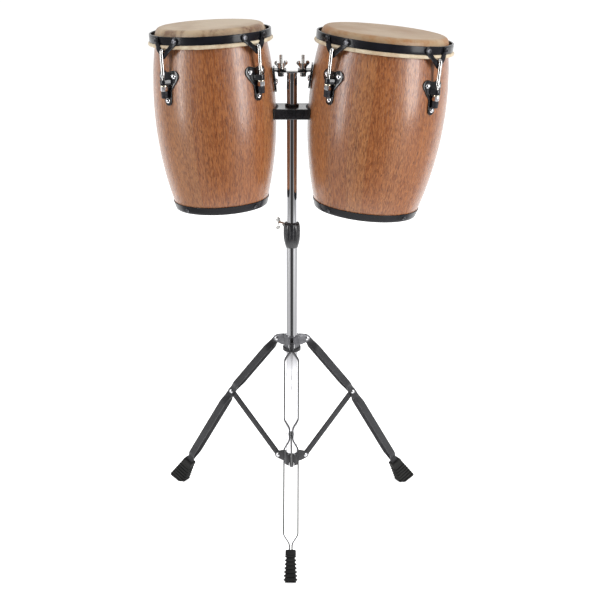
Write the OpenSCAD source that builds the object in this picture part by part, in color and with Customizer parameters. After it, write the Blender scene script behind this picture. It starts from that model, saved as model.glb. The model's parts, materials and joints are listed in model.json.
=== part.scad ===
// A pair of mini conga drums on a folding tripod stand. Each drum is a staved wooden shell with a
// rawhide head, pulled down by a hoop, four hooks and their nuts. Each drum hangs by a bracket from
// a stud on the top plate, and leans on the rest bar. Millimetres, +Z up, floor at Z = 0, and the
// pole runs up the Z axis. The front leg points along -Y, the small drum is at -X.

/* [Small drum] */
// Outer diameter of the small shell at its belly
small_belly_d = 216; // [180:1:260]
// How far the small shell draws in at its head end, on the radius
small_top_in = 16; // [13:0.5:20]
// How far the small shell draws in at its open foot, on the radius
small_foot_in = 26.5; // [15:0.5:34]
// Height of the belly above the foot of the small shell
small_belly_up = 180; // [120:1:230]
// How far the small drum's hoop lies inside its belly, on the radius
small_hoop_in = 1.5; // [0:0.1:2]
// Outward lean of the small drum in degrees
small_lean = 2.9; // [0:0.1:8]
// Height of the small bracket's tongue above the foot of the shell
small_hang = 241.5; // [210:0.5:262]
// Gap from the pole axis to the small shell at the rest bar
small_reach = 27.6; // [24:0.1:45]
// Turn of the small drum's lugs about its own axis in degrees
small_turn = 3; // [-8:0.5:8]

/* [Large drum] */
// Outer diameter of the large shell at its belly
large_belly_d = 244; // [200:1:293]
// How far the large shell draws in at its head end, on the radius
large_top_in = 14.5; // [13:0.5:20]
// How far the large shell draws in at its open foot, on the radius
large_foot_in = 31; // [15:0.5:36]
// Height of the belly above the foot of the large shell
large_belly_up = 197; // [130:1:240]
// How far the large drum's hoop lies inside its belly, on the radius
large_hoop_in = 1.8; // [0:0.1:2]
// Outward lean of the large drum in degrees
large_lean = 5.5; // [0:0.1:8]
// Height of the large bracket's tongue above the foot of the shell
large_hang = 250; // [215:0.5:268]
// Gap from the pole axis to the large shell at the rest bar
large_reach = 27.6; // [24:0.1:45]
// Turn of the large drum's lugs about its own axis in degrees
large_turn = 1; // [-8:0.5:8]

/* [Shells and heads] */
// Height of both shells
shell_h = 320; // [300:1:390]
// Wall thickness of the staves
shell_wall = 10; // [7:0.5:13]
// Radius of the rounded bearing edge
edge_r = 8; // [5:0.5:8.5]
// Thickness of the rawhide
skin_t = 1.4; // [0.8:0.1:2]
// Thickness of the skin-wrapped ring that the hoop bears on
ring_d = 6.5; // [5:0.5:8]
// How far the ring's middle lies inside the hoop's outer face
ring_in = 0.5; // [0:0.1:1.5]
// Depth of the hoop's top edge below the bearing edge
hoop_drop = 8; // [5:0.5:12]
// Height of the hoop band
hoop_h = 14; // [10:0.5:18]
// Thickness of the hoop band
hoop_t = 3; // [2:0.1:4]
// Height of the steel band round the shell's foot
band_h = 14; // [8:1:22]
// Thickness of the steel band
band_t = 1.6; // [1:0.1:2.5]

/* [Tuning] */
// Diameter of the tuning rods
rod_d = 6.4; // [5:0.1:7]
// Half the distance between a hoop ear's two screws
ear_half = 22; // [18:0.5:26]
// Depth of the ear's vertex below the hoop's top edge
ear_drop = 35; // [30:0.5:40]
// Thickness of the ear plates
ear_t = 2.4; // [1.8:0.1:3]
// How far the middle of an ear's lower end stands out from the hoop
ear_out = 5.9; // [5.5:0.1:7]
// Height of the lug plate's top edge above the shell's foot
lug_top = 257; // [235:1:262]
// Height of the lug plates
lug_h = 61; // [52:1:66]
// Width of the lug plates across the top
lug_w = 51; // [40:1:60]
// Thickness of the lug plates
lug_t = 2.5; // [1.5:0.1:2.6]
// Half the distance between the two upper lug bolts
lug_bolt_half = 13.5; // [11:0.5:17]
// Width across the flats of the tuning nuts
nut_af = 10.5; // [9:0.5:10.5]
// Height of the tuning nuts
nut_h = 8; // [6:0.5:10]
// Diameter of the domed bolt heads
bolt_head_d = 9; // [8:0.5:9.5]
// Diameter of the bolts through the shell
bolt_d = 5; // [4:0.5:6]

/* [Pole] */
// Outer diameter of the upper tube
upper_tube_d = 19.05; // [16:0.05:19.3]
// Outer diameter of the lower tube
lower_tube_d = 22.2; // [21.8:0.1:26]
// Wall thickness of both tubes
tube_wall = 1.2; // [1:0.1:1.3]
// Height of the upper tube's top end above the floor
mast_top = 860; // [820:1:900]
// Height of the upper tube's lower end above the floor
mast_foot = 290; // [270:1:310]
// Height of the height collar's lower edge above the floor
collar_z = 540; // [520:1:570]
// Length of the height collar
collar_h = 48; // [42:1:60]
// Greatest diameter of the height collar
collar_d = 31.4; // [29:0.1:38]
// Length of the plastic bush in the height collar
bush_h = 17; // [14:1:22]
// Diameter of the wing screws' shanks
wing_screw_d = 6; // [5:0.5:7]
// Direction of the height screw round the pole in degrees
height_screw_az = 155; // [120:1:200]

/* [Drum mounts] */
// Thickness of the top plate
plate_t = 2.5; // [2:0.1:4]
// Distance of each clamp stud from the pole axis
stud_x = 19.3; // [17:0.1:21]
// Diameter of the clamp studs
stud_d = 6; // [5:0.5:6.5]
// Height of the studs above the top plate
stud_up = 28; // [22:1:34]
// Thickness of the drum brackets
bracket_t = 2.6; // [2:0.1:3.5]
// Width of the drum brackets' tongues
tongue_w = 30; // [24:1:36]
// Height of a bracket's plate below the tongue
bracket_drop = 40; // [34:1:48]
// Depth of the rest bar's top face below the upper tube's end
rest_drop = 60; // [50:1:68]
// Height of the rest bar
rest_h = 18.5; // [14:0.5:24]
// Width of the rest bar, front to back
rest_w = 70; // [50:1:80]
// Thickness of the rubber pads on the rest bar
pad_t = 3; // [2:0.5:4]

/* [Tripod] */
// Height of the strut pivots on the lower hub
lower_hub_z = 113; // [100:1:125]
// Distance of the strut pivots from the pole axis
strut_pivot_r = 30; // [28:0.5:33]
// Distance of the leg pivots from the pole axis
leg_pivot_r = 32; // [30:0.5:35]
// Distance of the knees from the pole axis with the stand open
knee_r = 137; // [125:1:150]
// Length of a leg from its top pivot to its knee
leg_upper = 168; // [150:1:185]
// Length of a strut between its pivots
strut_len = 155; // [145:1:170]
// Slope of a leg below its knee in degrees
leg_slope = 59; // [54:0.5:64]
// Width of the leg strips
leg_w = 13; // [11:0.5:14]
// Thickness of the leg strips
leg_t = 2.4; // [2:0.1:3]
// Clear half gap between a leg's two strips where they bow apart
leg_bow = 11.6; // [9:0.1:13]
// Width of the struts
strut_w = 11.5; // [9:0.5:12.5]
// Thickness of the struts
strut_t = 3; // [2:0.1:4]
// Diameter of the rivets
rivet_d = 5; // [4:0.5:6]
// Length of the rubber feet
foot_len = 57; // [48:1:64]
// Length of a foot's sole, in line with the leg
sole_len = 42; // [36:1:48]
// Width of a foot's sole
sole_w = 26; // [22:1:32]

/* [Clearances] */
// Radial clearance of sliding tubes and bushes
slide_clear = 0.07; // [0.04:0.01:0.1]
// Radial clearance of rivets and screws that turn
pin_clear = 0.08; // [0.05:0.01:0.1]
// Side gap between pieces that move past each other
side_gap = 0.3; // [0.3:0.05:0.5]

/* [Hidden] */
$fn = 64;

// The two drums, small first: index 0 and 1 pick these values.
belly_r = [small_belly_d / 2, large_belly_d / 2];
top_r = belly_r - [small_top_in, large_top_in];
foot_r = belly_r - [small_foot_in, large_foot_in];
belly_up = [small_belly_up, large_belly_up];
hoop_r = belly_r - [small_hoop_in, large_hoop_in];
lean = [small_lean, large_lean];
hang = [small_hang, large_hang];
reach = [small_reach, large_reach];
lug_turn = [small_turn, large_turn];
side = [-1, 1];
lugs = 4;

// The tongue lies on the top plate, so the plate's height places both drums.
tongue_z = mast_top + plate_t + side_gap;
rest_top = mast_top - rest_drop;
rest_mid = rest_top - rest_h / 2;

// Radius of a shell at height z above its foot: one arc below the belly and one above, both
// upright at the belly.
function arc_r(rise, fall) = (rise * rise + fall * fall) / (2 * fall);
function bow_r(d, z) = let (
    rise = z > belly_up[d] ? shell_h - belly_up[d] : belly_up[d],
    fall = belly_r[d] - (z > belly_up[d] ? top_r[d] : foot_r[d]),
    big = arc_r(rise, fall))
    belly_r[d] - big + sqrt(big * big - pow(z - belly_up[d], 2));
function foot_z(d) = tongue_z - hang[d];
function rest_up(d) = (rest_mid - foot_z(d)) / cos(lean[d]);
function axis_x(d) = reach[d] + bow_r(d, rest_up(d)) / cos(lean[d])
    - tan(lean[d]) * (rest_mid - foot_z(d));

// Heights on a shell, above its foot.
hoop_top = shell_h - hoop_drop;
hoop_mid = hoop_top - hoop_h / 2;
ring_z = hoop_top - hoop_h - ring_d / 2;
ear_z = hoop_top - ear_drop;
function ring_r(d) = hoop_r[d] - ring_in;
function ear_r(d) = hoop_r[d] + ear_out;
function rod_r(d) = ear_r(d) + ear_t / 2 + rod_d / 2;

bolt_top_up = lug_top - 11;
bolt_low_up = lug_top - lug_h + 9;
bridge_up = lug_top - 24.5;
bridge_h = 9;
bridge_w = 14;
bridge_wall = 3;
washer_h = 2;
washer_d = 13;
nut_up = bridge_up - washer_h - side_gap - nut_h;
cap_h = 12;
cap_d = 11.5;
cap_up = nut_up - side_gap - cap_h;
hook_reach = 7.5;
band_gap = 0.05;
eye_t = ear_t + 1;
ear_foot_r = 5.2;
ear_foot_z = ear_z + 4;
back_t = 2;
mount_back = 2.5;
head_gap = 0.15;

knee_z = lower_hub_z + sqrt(pow(strut_len, 2) - pow(knee_r - strut_pivot_r, 2));
leg_collar_z = knee_z + sqrt(pow(leg_upper, 2) - pow(knee_r - leg_pivot_r, 2));
upper_slope = atan2(leg_collar_z - knee_z, knee_r - leg_pivot_r);
strut_slope = atan2(knee_z - lower_hub_z, knee_r - strut_pivot_r);
leg_lower = knee_z / sin(leg_slope);
leg_az = [-90, 30, 150];
hub_ear_t = 1.5;
hub_ear_r = 6.5;
rivet_head_h = 1.6;
rivet_head_d = 8.4;
strip_gap = 0.1;
foot_gap = 1.2;
strip_short = 30;
strip_end = leg_lower - strip_short;
foot_pinch = foot_len - strip_short + 10;
eye_grow = 0.4;
lap = 0.04;
pinch = 9;
ramp = 19;
collar_ear_y = strip_gap / 2 + leg_t + side_gap;
strut_ear_y = strut_t / 2 + side_gap;
knee_in = strut_t / 2 + side_gap;
lower_tube_end = lower_hub_z - 9;
lower_tube_top = collar_z + collar_h - bush_h - 3;
screw_z = collar_z + collar_h - 6;
overlap = 0.5;

// ---- Shapes that repeat ----

// Points of an arc about a centre.
function arc_pts(cx, cy, r, a0, a1, n) = [for (i = [0 : n])
    let (a = a0 + (a1 - a0) * i / n)
    [cx + r * cos(a), cy + r * sin(a)]];

// Points up a shell's outer face from z0 to z1 (or down, when z0 is the higher), moved out by grow.
function face_pts(d, z0, z1, grow, n) = [for (i = [0 : n])
    let (z = z0 + (z1 - z0) * i / n)
    [bow_r(d, z) + grow, z]];

module place_drum(d) {
    translate([side[d] * axis_x(d), 0, foot_z(d)])
        rotate([0, side[d] * lean[d], 0])
            rotate([0, 0, d == 0 ? 0 : 180])
                children();
}

// Puts children at each lug, with +X pointing out of the shell there.
module at_lugs(d) {
    for (i = [0 : lugs - 1]) at_lug(d, i) children();
}

module at_lug(d, i) {
    turn = d == 0 ? lug_turn[d] : -lug_turn[d];
    rotate([0, 0, 45 + turn + i * 360 / lugs]) children();
}

module tube(r_out, r_in, z0, z1) {
    translate([0, 0, z0]) difference() {
        cylinder(r = r_out, h = z1 - z0);
        translate([0, 0, -overlap]) cylinder(r = r_in, h = z1 - z0 + 2 * overlap);
    }
}

// A cylinder along +X from x0 to x1.
module rod_x(r, x0, x1, sides = 64) {
    translate([x0, 0, 0]) rotate([0, 90, 0]) cylinder(r = r, h = x1 - x0, $fn = sides);
}

// A cylinder along Y from y0 to y1.
module rod_y(r, y0, y1) {
    translate([0, y1, 0]) rotate([90, 0, 0]) cylinder(r = r, h = y1 - y0);
}

// A flat bar between two points, wide across the line between them and facing out.
module strap(a, b, out, w, t) {
    run = b - a;
    len = norm(run);
    u = run / len;
    n0 = out - u * (u * out);
    n = n0 / norm(n0);
    v = cross(n, u);
    multmatrix([[u.x, v.x, n.x, a.x], [u.y, v.y, n.y, a.y], [u.z, v.z, n.z, a.z], [0, 0, 0, 1]])
        translate([0, -w / 2, -t / 2]) cube([len, w, t]);
}

// ---- Drum pieces, each drawn about the drum's own axis ----

module shell(d) {
    z1 = shell_h - edge_r;
    cx = bow_r(d, z1) - edge_r;
    outer = face_pts(d, 0, z1, 0, 22);
    crown = arc_pts(cx, z1, edge_r, 15, 90, 5);
    lip = [bow_r(d, z1) - shell_wall, shell_h - 2];
    inner = face_pts(d, z1, 0, -shell_wall, 22);
    color("sienna") place_drum(d) difference() {
        rotate_extrude($fn = 96) polygon(concat(outer, crown, [lip], inner));
        at_lugs(d) lug_bolt_places(d) rod_x(bolt_d / 2, -2 * shell_wall, shell_wall);
        mount_bolt_places(d) rod_x(bolt_d / 2, -2 * shell_wall, shell_wall);
    }
}

module head_skin(d) {
    z1 = shell_h - edge_r;
    cx = bow_r(d, z1) - edge_r;
    r_in = edge_r + 0.1;
    r_out = r_in + skin_t;
    hem_r = ring_r(d) - ring_d / 2 - 0.1;
    hem_z = ring_z;
    outer = concat([[hem_r, hem_z]], arc_pts(cx, z1, r_out, 10, 90, 8), [[0, z1 + r_out]]);
    inner = concat([[0, z1 + r_in]], arc_pts(cx, z1, r_in, 90, 10, 8), [[hem_r - skin_t, hem_z]]);
    color("tan") place_drum(d) rotate_extrude($fn = 96) polygon(concat(outer, inner));
}

module flesh_ring(d) {
    color("wheat") place_drum(d) translate([0, 0, ring_z])
        rotate_extrude($fn = 96) translate([ring_r(d), 0]) circle(d = ring_d - 0.1, $fn = 32);
}

module tension_hoop(d) {
    color([0.12, 0.12, 0.14]) place_drum(d)
        tube(hoop_r[d], hoop_r[d] - hoop_t, hoop_top - hoop_h, hoop_top);
}

// A V-shaped ear: two eyes screwed to the hoop and two arms down to a bar that holds the hook.
module hoop_ears(d) {
    spread = asin(ear_half / hoop_r[d]);
    eye_x = hoop_r[d] + 0.05;
    foot = [ear_r(d), 0, ear_foot_z];
    color([0.1, 0.1, 0.11]) place_drum(d) at_lugs(d) {
        for (s = [-1, 1]) {
            rotate([0, 0, s * spread]) translate([0, 0, hoop_mid]) difference() {
                rod_x(6.4, eye_x, eye_x + eye_t);
                rod_x(bolt_d / 2, eye_x - 1, eye_x + eye_t + 1);
            }
            eye = [cos(spread) * (eye_x + 5), s * (sin(spread) * (eye_x + ear_t) - 4.6), hoop_mid - 2.6];
            strap(eye, foot + [0, s * 1.5, 0], [1, 0, 0], 7, ear_t);
        }
        translate(foot) rod_x(ear_foot_r, -ear_t / 2, ear_t / 2);
    }
}

// Button-head screws: two through each ear into the hoop, and four in the foot band.
module socket_screws(d) {
    spread = asin(ear_half / hoop_r[d]);
    eye_x = hoop_r[d] + 0.05 + eye_t;
    band_x = band_gap + band_t + head_gap;
    color([0.35, 0.35, 0.37]) place_drum(d) {
        at_lugs(d) for (s = [-1, 1]) rotate([0, 0, s * spread]) translate([0, 0, hoop_mid]) {
            rod_x(4.4, eye_x, eye_x + 2);
            rod_x(bolt_d / 2, hoop_r[d] + 0.05, eye_x + 1);
        }
        at_lugs(d) on_face(d, 0, band_h / 2) rod_x(3.6, band_x, band_x + 2);
    }
}

// The tuning hook: a rod whose top end bends in over the ear's bar.
module tuning_rods(d) {
    hook_z = ear_foot_z + ear_foot_r + rod_d / 2 + 0.9;
    low = cap_up + 5;
    color([0.8, 0.8, 0.82]) place_drum(d) at_lugs(d) {
        translate([rod_r(d), 0, low]) cylinder(d = rod_d, h = hook_z - low);
        translate([rod_r(d), 0, hook_z]) sphere(d = rod_d);
        translate([0, 0, hook_z]) rod_x(rod_d / 2, rod_r(d) - hook_reach, rod_r(d));
        translate([rod_r(d), 0, bridge_up - washer_h]) difference() {
            cylinder(d = washer_d, h = washer_h);
            translate([0, 0, -1]) cylinder(d = rod_d - 0.2, h = washer_h + 2);
        }
    }
}

module tuning_nut(d, i) {
    color([0.78, 0.78, 0.8]) place_drum(d) at_lug(d, i) translate([rod_r(d), 0, nut_up]) difference() {
        cylinder(d = nut_af / cos(30), h = nut_h, $fn = 6);
        translate([0, 0, -1]) cylinder(r = rod_d / 2 + pin_clear, h = nut_h + 2);
    }
}

module rod_caps(d) {
    color([0.08, 0.08, 0.08]) place_drum(d) at_lugs(d) translate([rod_r(d), 0, cap_up]) difference() {
        cylinder(d = cap_d, h = cap_h);
        translate([0, 0, 5]) cylinder(d = rod_d, h = cap_h);
    }
}

// Puts children on a shell's outer face, y to the side and z up, with +X square to the face.
module on_face(d, y, z) {
    rotate([0, 0, asin(y / bow_r(d, z))]) translate([bow_r(d, z), 0, z])
        rotate([0, -atan2(bow_r(d, z - 5) - bow_r(d, z + 5), 10), 0]) children();
}

module lug_bolt_places(d) {
    for (s = [-1, 1]) on_face(d, s * lug_bolt_half, bolt_top_up) children();
    on_face(d, 0, bolt_low_up) children();
}

// T-shaped outline of a lug plate, drawn flat with Y up, its top edge at lug_top.
module lug_outline(shrink) {
    half = lug_w / 2 - shrink;
    top = lug_top - shrink;
    low = lug_top - lug_h + shrink;
    polygon([[-half, top], [-half, top - 16], [-half + 5, top - 21], [-9 + shrink, low + 9],
        [-6 + shrink, low + 2], [6 - shrink, low + 2], [9 - shrink, low + 9], [half - 5, top - 21],
        [half, top - 16], [half, top]]);
    translate([0, low + 9 - shrink]) circle(r = 9 - shrink);
}

// A slab of the lug's outline that follows the shell between two offsets from its face.
module lug_slab(d, in, out, shrink) {
    z0 = lug_top - lug_h - 4;
    z1 = lug_top + 4;
    intersection() {
        translate([belly_r[d] * 0.6, 0, 0]) rotate([90, 0, 90])
            linear_extrude(belly_r[d]) lug_outline(shrink);
        rotate_extrude($fn = 96)
            polygon(concat(face_pts(d, z0, z1, out, 6), face_pts(d, z1, z0, in, 6)));
    }
}

// A pressed plate with a raised bridge that the tuning rod runs through.
module lug_plates(d) {
    out = rod_r(d) + rod_d / 2 + bridge_wall;
    color([0.06, 0.06, 0.07]) place_drum(d) at_lugs(d) difference() {
        union() {
            lug_slab(d, 0.05, lug_t, 0);
            translate([bow_r(d, bridge_up) + 0.6, -bridge_w / 2, bridge_up])
                cube([rod_r(d) - bow_r(d, bridge_up) - 0.6, bridge_w, bridge_h]);
            translate([rod_r(d), 0, bridge_up]) cylinder(r = out - rod_r(d), h = bridge_h);
        }
        translate([rod_r(d), 0, bridge_up - 1]) cylinder(r = rod_d / 2 + 0.1, h = bridge_h + 2);
        lug_bolt_places(d) rod_x(bolt_d / 2, -shell_wall, shell_wall);
    }
}

// A domed bolt through a plate and the shell, with its nut behind the plate inside.
module shell_bolt(plate, back) {
    nut_x = -shell_wall - back - head_gap;
    rod_x(bolt_d / 2 - 0.05, nut_x - 5, plate + 1);
    rod_x(bolt_head_d / 2, plate + head_gap, plate + 1.6);
    translate([plate + 1.6, 0, 0]) intersection() {
        sphere(d = bolt_head_d - 0.4);
        rod_x(bolt_head_d, 0, bolt_head_d);
    }
    rod_x(4.6, nut_x - 4, nut_x, 6);
}

module shell_bolts(d) {
    color([0.75, 0.75, 0.77]) place_drum(d) {
        at_lugs(d) lug_bolt_places(d) shell_bolt(lug_t, back_t + 0.1);
        mount_bolt_places(d) shell_bolt(bracket_t, back_t + mount_back);
    }
}

module backing_plates(d) {
    color([0.5, 0.5, 0.52]) place_drum(d) {
        at_lugs(d) difference() {
            lug_slab(d, -shell_wall - back_t - 0.1, -shell_wall - 0.1, 5);
            lug_bolt_places(d) rod_x(bolt_d / 2 + 0.1, -2 * shell_wall, 0);
        }
        difference() {
            mount_face(d) translate([-shell_wall - back_t - mount_back, -19, -9])
                cube([back_t, 38, 18]);
            mount_bolt_places(d) rod_x(bolt_d / 2 + 0.1, -2 * shell_wall, 0);
        }
    }
}

module foot_band(d) {
    color([0.1, 0.1, 0.11]) place_drum(d) rotate_extrude($fn = 96)
        polygon(concat(face_pts(d, 0, band_h, band_gap + band_t, 4), face_pts(d, band_h, 0, band_gap, 4)));
}

// ---- Brackets: a plate bolted to the shell, and a level tongue with a slot for the stud ----

function mount_bolt_up(d) = (hang[d] - 25) / cos(lean[d]);
function plate_slope(d) = atan2(bow_r(d, mount_bolt_up(d) - 14) - bow_r(d, mount_bolt_up(d) + 14), 28);
function plate_x(d) = bow_r(d, mount_bolt_up(d)) + 0.4;

// Puts children on the bracket plate's inner face, with +X square to it.
module mount_face(d) {
    translate([plate_x(d), 0, mount_bolt_up(d)]) rotate([0, -plate_slope(d), 0]) children();
}

module mount_bolt_places(d) {
    for (s = [-1, 1]) mount_face(d) translate([0, s * 11, 0]) children();
}

module mount_bracket(d) {
    plate_h = bracket_drop + 2;
    grip_x = stud_x - 9;
    color([0.12, 0.12, 0.13]) {
        place_drum(d) difference() {
            mount_face(d) translate([0, -tongue_w / 2, -bracket_drop + 24])
                cube([bracket_t, tongue_w, plate_h]);
            mount_bolt_places(d) rod_x(bolt_d / 2, -1, bracket_t + 1);
        }
        difference() {
            translate([side[d] > 0 ? grip_x : -grip_x - tongue_run(d), -tongue_w / 2, tongue_z])
                cube([tongue_run(d), tongue_w, bracket_t]);
            translate([side[d] * stud_x, 0, tongue_z - 1])
                cylinder(r = stud_d / 2 + 0.5, h = bracket_t + 2);
            translate([side[d] > 0 ? -1 : -stud_x, -stud_d / 2 - 0.5, tongue_z - 1])
                cube([stud_x + 1, stud_d + 1, bracket_t + 2]);
        }
    }
}

// Length of the tongue, from its grip end to the bracket's plate.
function tongue_run(d) = let (
    up = (hang[d] + bracket_t / 2) / cos(lean[d]),
    face = plate_x(d) - (up - mount_bolt_up(d)) * tan(plate_slope(d)),
    face_x = axis_x(d) + (hang[d] + bracket_t / 2) * tan(lean[d]) - (face + bracket_t / 2) / cos(lean[d]))
    face_x - (stud_x - 9);

// ---- Pole ----

module lower_tube() {
    color([0.75, 0.75, 0.78])
        tube(lower_tube_d / 2, lower_tube_d / 2 - tube_wall, lower_tube_end, lower_tube_top);
}

module upper_tube() {
    color([0.78, 0.78, 0.8]) tube(upper_tube_d / 2, upper_tube_d / 2 - tube_wall, mast_foot, mast_top);
}

// A moulded sleeve with a bulging upper part, fluted all round.
module height_collar() {
    r = collar_d / 2;
    color([0.12, 0.12, 0.13]) translate([0, 0, collar_z]) difference() {
        rotate_extrude() polygon([[0, 0], [r - 4.6, 0], [r - 3.6, 3], [r - 1.4, 12], [r - 0.2, 22],
            [r, 30], [r - 0.2, 37], [r - 1, 43], [r - 2.4, collar_h], [0, collar_h]]);
        for (i = [0 : 9]) rotate([0, 0, i * 36]) translate([r + 1.6, 0, -1])
            cylinder(r = 2.6, h = collar_h + 2, $fn = 24);
        translate([0, 0, -1]) cylinder(r = lower_tube_d / 2, h = collar_h + 2);
        translate([0, 0, screw_z - collar_z]) rotate([0, 0, height_screw_az])
            rod_x(wing_screw_d / 2 + pin_clear, 0, r + 4);
    }
}

module collar_bush() {
    color("ivory") difference() {
        tube(lower_tube_d / 2, upper_tube_d / 2 + slide_clear, lower_tube_top, lower_tube_top + bush_h);
        translate([0, 0, screw_z]) rotate([0, 0, height_screw_az])
            rod_x(wing_screw_d / 2 + pin_clear, 0, lower_tube_d);
    }
}

// A wing screw along +X: shank, boss and two flat wings.
module wing_screw(tip, boss, wings) {
    rod_x(wing_screw_d / 2, tip, wings);
    rod_x(wing_screw_d / 2 + 1.6, boss, wings + 1);
    for (s = [-1, 1]) translate([wings + 2.5, 0, s * 7.5]) rod_y(4.6, -1.6, 1.6);
    translate([wings - 1.5, -1.6, -7.5]) cube([7, 3.2, 15]);
}

module height_wing_screw() {
    color([0.8, 0.8, 0.82]) translate([0, 0, screw_z]) rotate([0, 0, height_screw_az])
        wing_screw(upper_tube_d / 2 + side_gap, collar_d / 2 + side_gap, collar_d / 2 + 10);
}

// ---- Top of the mast ----

module top_plate() {
    half = stud_x + 6;
    color([0.82, 0.82, 0.84]) {
        translate([0, 0, mast_top]) {
            translate([-half + 6, -8, 0]) cube([2 * half - 12, 16, plate_t]);
            for (s = [-1, 1]) translate([s * (half - 6), 0, 0]) cylinder(r = 8, h = plate_t);
        }
        for (s = [-1, 1]) translate([s * stud_x, 0, 0]) {
            translate([0, 0, mast_top - 8]) cylinder(d = stud_d, h = 8 + plate_t + stud_up);
            translate([0, 0, mast_top - 7.5]) cylinder(d = 10 / cos(30), h = 7.5, $fn = 6);
        }
    }
}

module wing_nut(s) {
    base = tongue_z + bracket_t + side_gap;
    color([0.8, 0.8, 0.82]) translate([s * stud_x, 0, base]) difference() {
        union() {
            cylinder(r1 = 6.4, r2 = 4.8, h = 10);
            rotate([0, 0, 20]) for (w = [-1, 1]) {
                translate([w * 8, 0, 10.5]) rod_y(4.2, -1.3, 1.3);
                translate([w * 6 - 3, -1.3, 4]) cube([6, 2.6, 7]);
            }
        }
        translate([0, 0, -1]) cylinder(r = stud_d / 2 + pin_clear, h = 20);
    }
}

module small_wing_nut() wing_nut(-1);
module large_wing_nut() wing_nut(1);

// Upright columns round the two drums' axes, a little wider than their bellies.
module belly_columns(grow) {
    for (d = [0, 1]) place_drum(d) translate([0, 0, rest_up(d) - 60])
        cylinder(r = belly_r[d] + grow, h = 120, $fn = 128);
}

// A block round the upper tube whose two ends are hollowed to the shells' curve.
module rest_block(grow) {
    difference() {
        translate([-60, -rest_w / 2, rest_top - rest_h]) cube([120, rest_w, rest_h]);
        belly_columns(grow);
    }
}

module rest_bar() {
    color([0.13, 0.13, 0.15]) difference() {
        union() {
            rest_block(side_gap + pad_t);
            translate([0, 0, rest_top - overlap]) cylinder(d = upper_tube_d + 6, h = 5 + overlap);
        }
        translate([0, 0, rest_top - rest_h - 1]) cylinder(d = upper_tube_d, h = rest_h + 12);
    }
}

module rest_pads() {
    color([0.07, 0.07, 0.07]) intersection() {
        rest_block(side_gap);
        belly_columns(side_gap + pad_t);
    }
}

// ---- Tripod ----

// Two ear plates that stand out from a sleeve, at plus and minus y.
module ears(y, pivot_r, low, high) {
    for (s = [-1, 1]) translate([0, s > 0 ? y + hub_ear_t : -y, 0]) rotate([90, 0, 0])
        linear_extrude(hub_ear_t) {
            polygon([[12.2, low], [12.2, high], [pivot_r, hub_ear_r], [pivot_r, -hub_ear_r]]);
            translate([pivot_r, 0]) circle(r = hub_ear_r);
        }
}

module leg_collar() {
    color([0.35, 0.35, 0.37]) translate([0, 0, leg_collar_z]) difference() {
        union() {
            tube(14.4, lower_tube_d / 2 + slide_clear, -11, 12);
            tube(17, lower_tube_d / 2 + slide_clear, -18, -11);
            for (a = leg_az) rotate([0, 0, a]) ears(collar_ear_y, leg_pivot_r, -10, 10);
        }
        for (a = leg_az) rotate([0, 0, a]) translate([leg_pivot_r, 0, 0]) rod_y(rivet_d / 2, -12, 12);
        rotate([0, 0, 90]) rod_x(wing_screw_d / 2 + pin_clear, 0, 20);
    }
}

// The two heads of a rivet along Y, at plus and minus y.
module rivet_heads(y) {
    for (s = [-1, 1]) rotate([s * -90, 0, 0]) translate([0, 0, y])
        cylinder(r1 = rivet_head_d / 2, r2 = rivet_head_d / 3, h = rivet_head_h);
}

module rivet(half) {
    rod_y(rivet_d / 2, -half - 0.05, half + 0.05);
    rivet_heads(half + 0.05);
}

module collar_rivets() {
    color("silver") for (a = leg_az) rotate([0, 0, a]) translate([leg_pivot_r, 0, leg_collar_z])
        rivet(collar_ear_y + hub_ear_t);
}

module leg_lock_screw() {
    color([0.8, 0.8, 0.82]) translate([0, 0, leg_collar_z]) rotate([0, 0, 90])
        wing_screw(lower_tube_d / 2 + side_gap, 14.4 + side_gap, 26);
}

// The hub that closes the lower tube. Its rivets show as a head on each ear: the struts' ends
// turn between the ears and keep clear of any shank.
module lower_hub() {
    color([0.12, 0.12, 0.13]) translate([0, 0, lower_hub_z]) {
        difference() {
            translate([0, 0, -12]) cylinder(r = 14, h = 25);
            translate([0, 0, -9]) cylinder(d = lower_tube_d, h = 30);
        }
        for (a = leg_az) rotate([0, 0, a]) {
            ears(strut_ear_y, strut_pivot_r, -9, 11);
            translate([strut_pivot_r, 0, 0]) rivet_heads(strut_ear_y + hub_ear_t - 0.1);
        }
    }
}

// Outline of a strip seen on edge: straight where it is pinched at either end, bowed out between.
module strip_outline(run, start, end, first, last) {
    inner = [[0, start], [first, start], [first + ramp, leg_bow],
        [run - last - ramp, leg_bow], [run - last, end], [run, end]];
    polygon(concat(inner, [for (i = [len(inner) - 1 : -1 : 0]) inner[i] + [0, leg_t]]));
}

module strip_run(run, start, end, first, last) {
    translate([0, 0, -leg_w / 2]) linear_extrude(leg_w) strip_outline(run, start, end, first, last);
}

// One of a leg's two strips, from the collar's rivet over the knee into the foot. The two runs lie
// a little out of line at the knee, as pressed strip does, and the eyes a little inside the strip.
module leg_strip() {
    difference() {
        union() {
            translate([leg_pivot_r, 0, leg_collar_z]) rotate([0, upper_slope, 0]) {
                strip_run(leg_upper + 1, strip_gap / 2, knee_in, pinch, pinch + 1);
                rod_y(leg_w / 2 + eye_grow, strip_gap / 2 + lap, strip_gap / 2 + leg_t - lap);
            }
            translate([knee_r, 0, knee_z]) rotate([0, leg_slope, 0]) {
                translate([-1, 0, 0])
                    strip_run(strip_end + 1, knee_in + lap, foot_gap, pinch + 1, foot_pinch);
                rod_y(leg_w / 2 + eye_grow, knee_in + 2 * lap, knee_in + leg_t - lap);
            }
        }
        translate([leg_pivot_r, 0, leg_collar_z]) rod_y(rivet_d / 2 + pin_clear, -1, 6);
        translate([knee_r, 0, knee_z]) rod_y(rivet_d / 2, -1, 8);
    }
}

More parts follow.
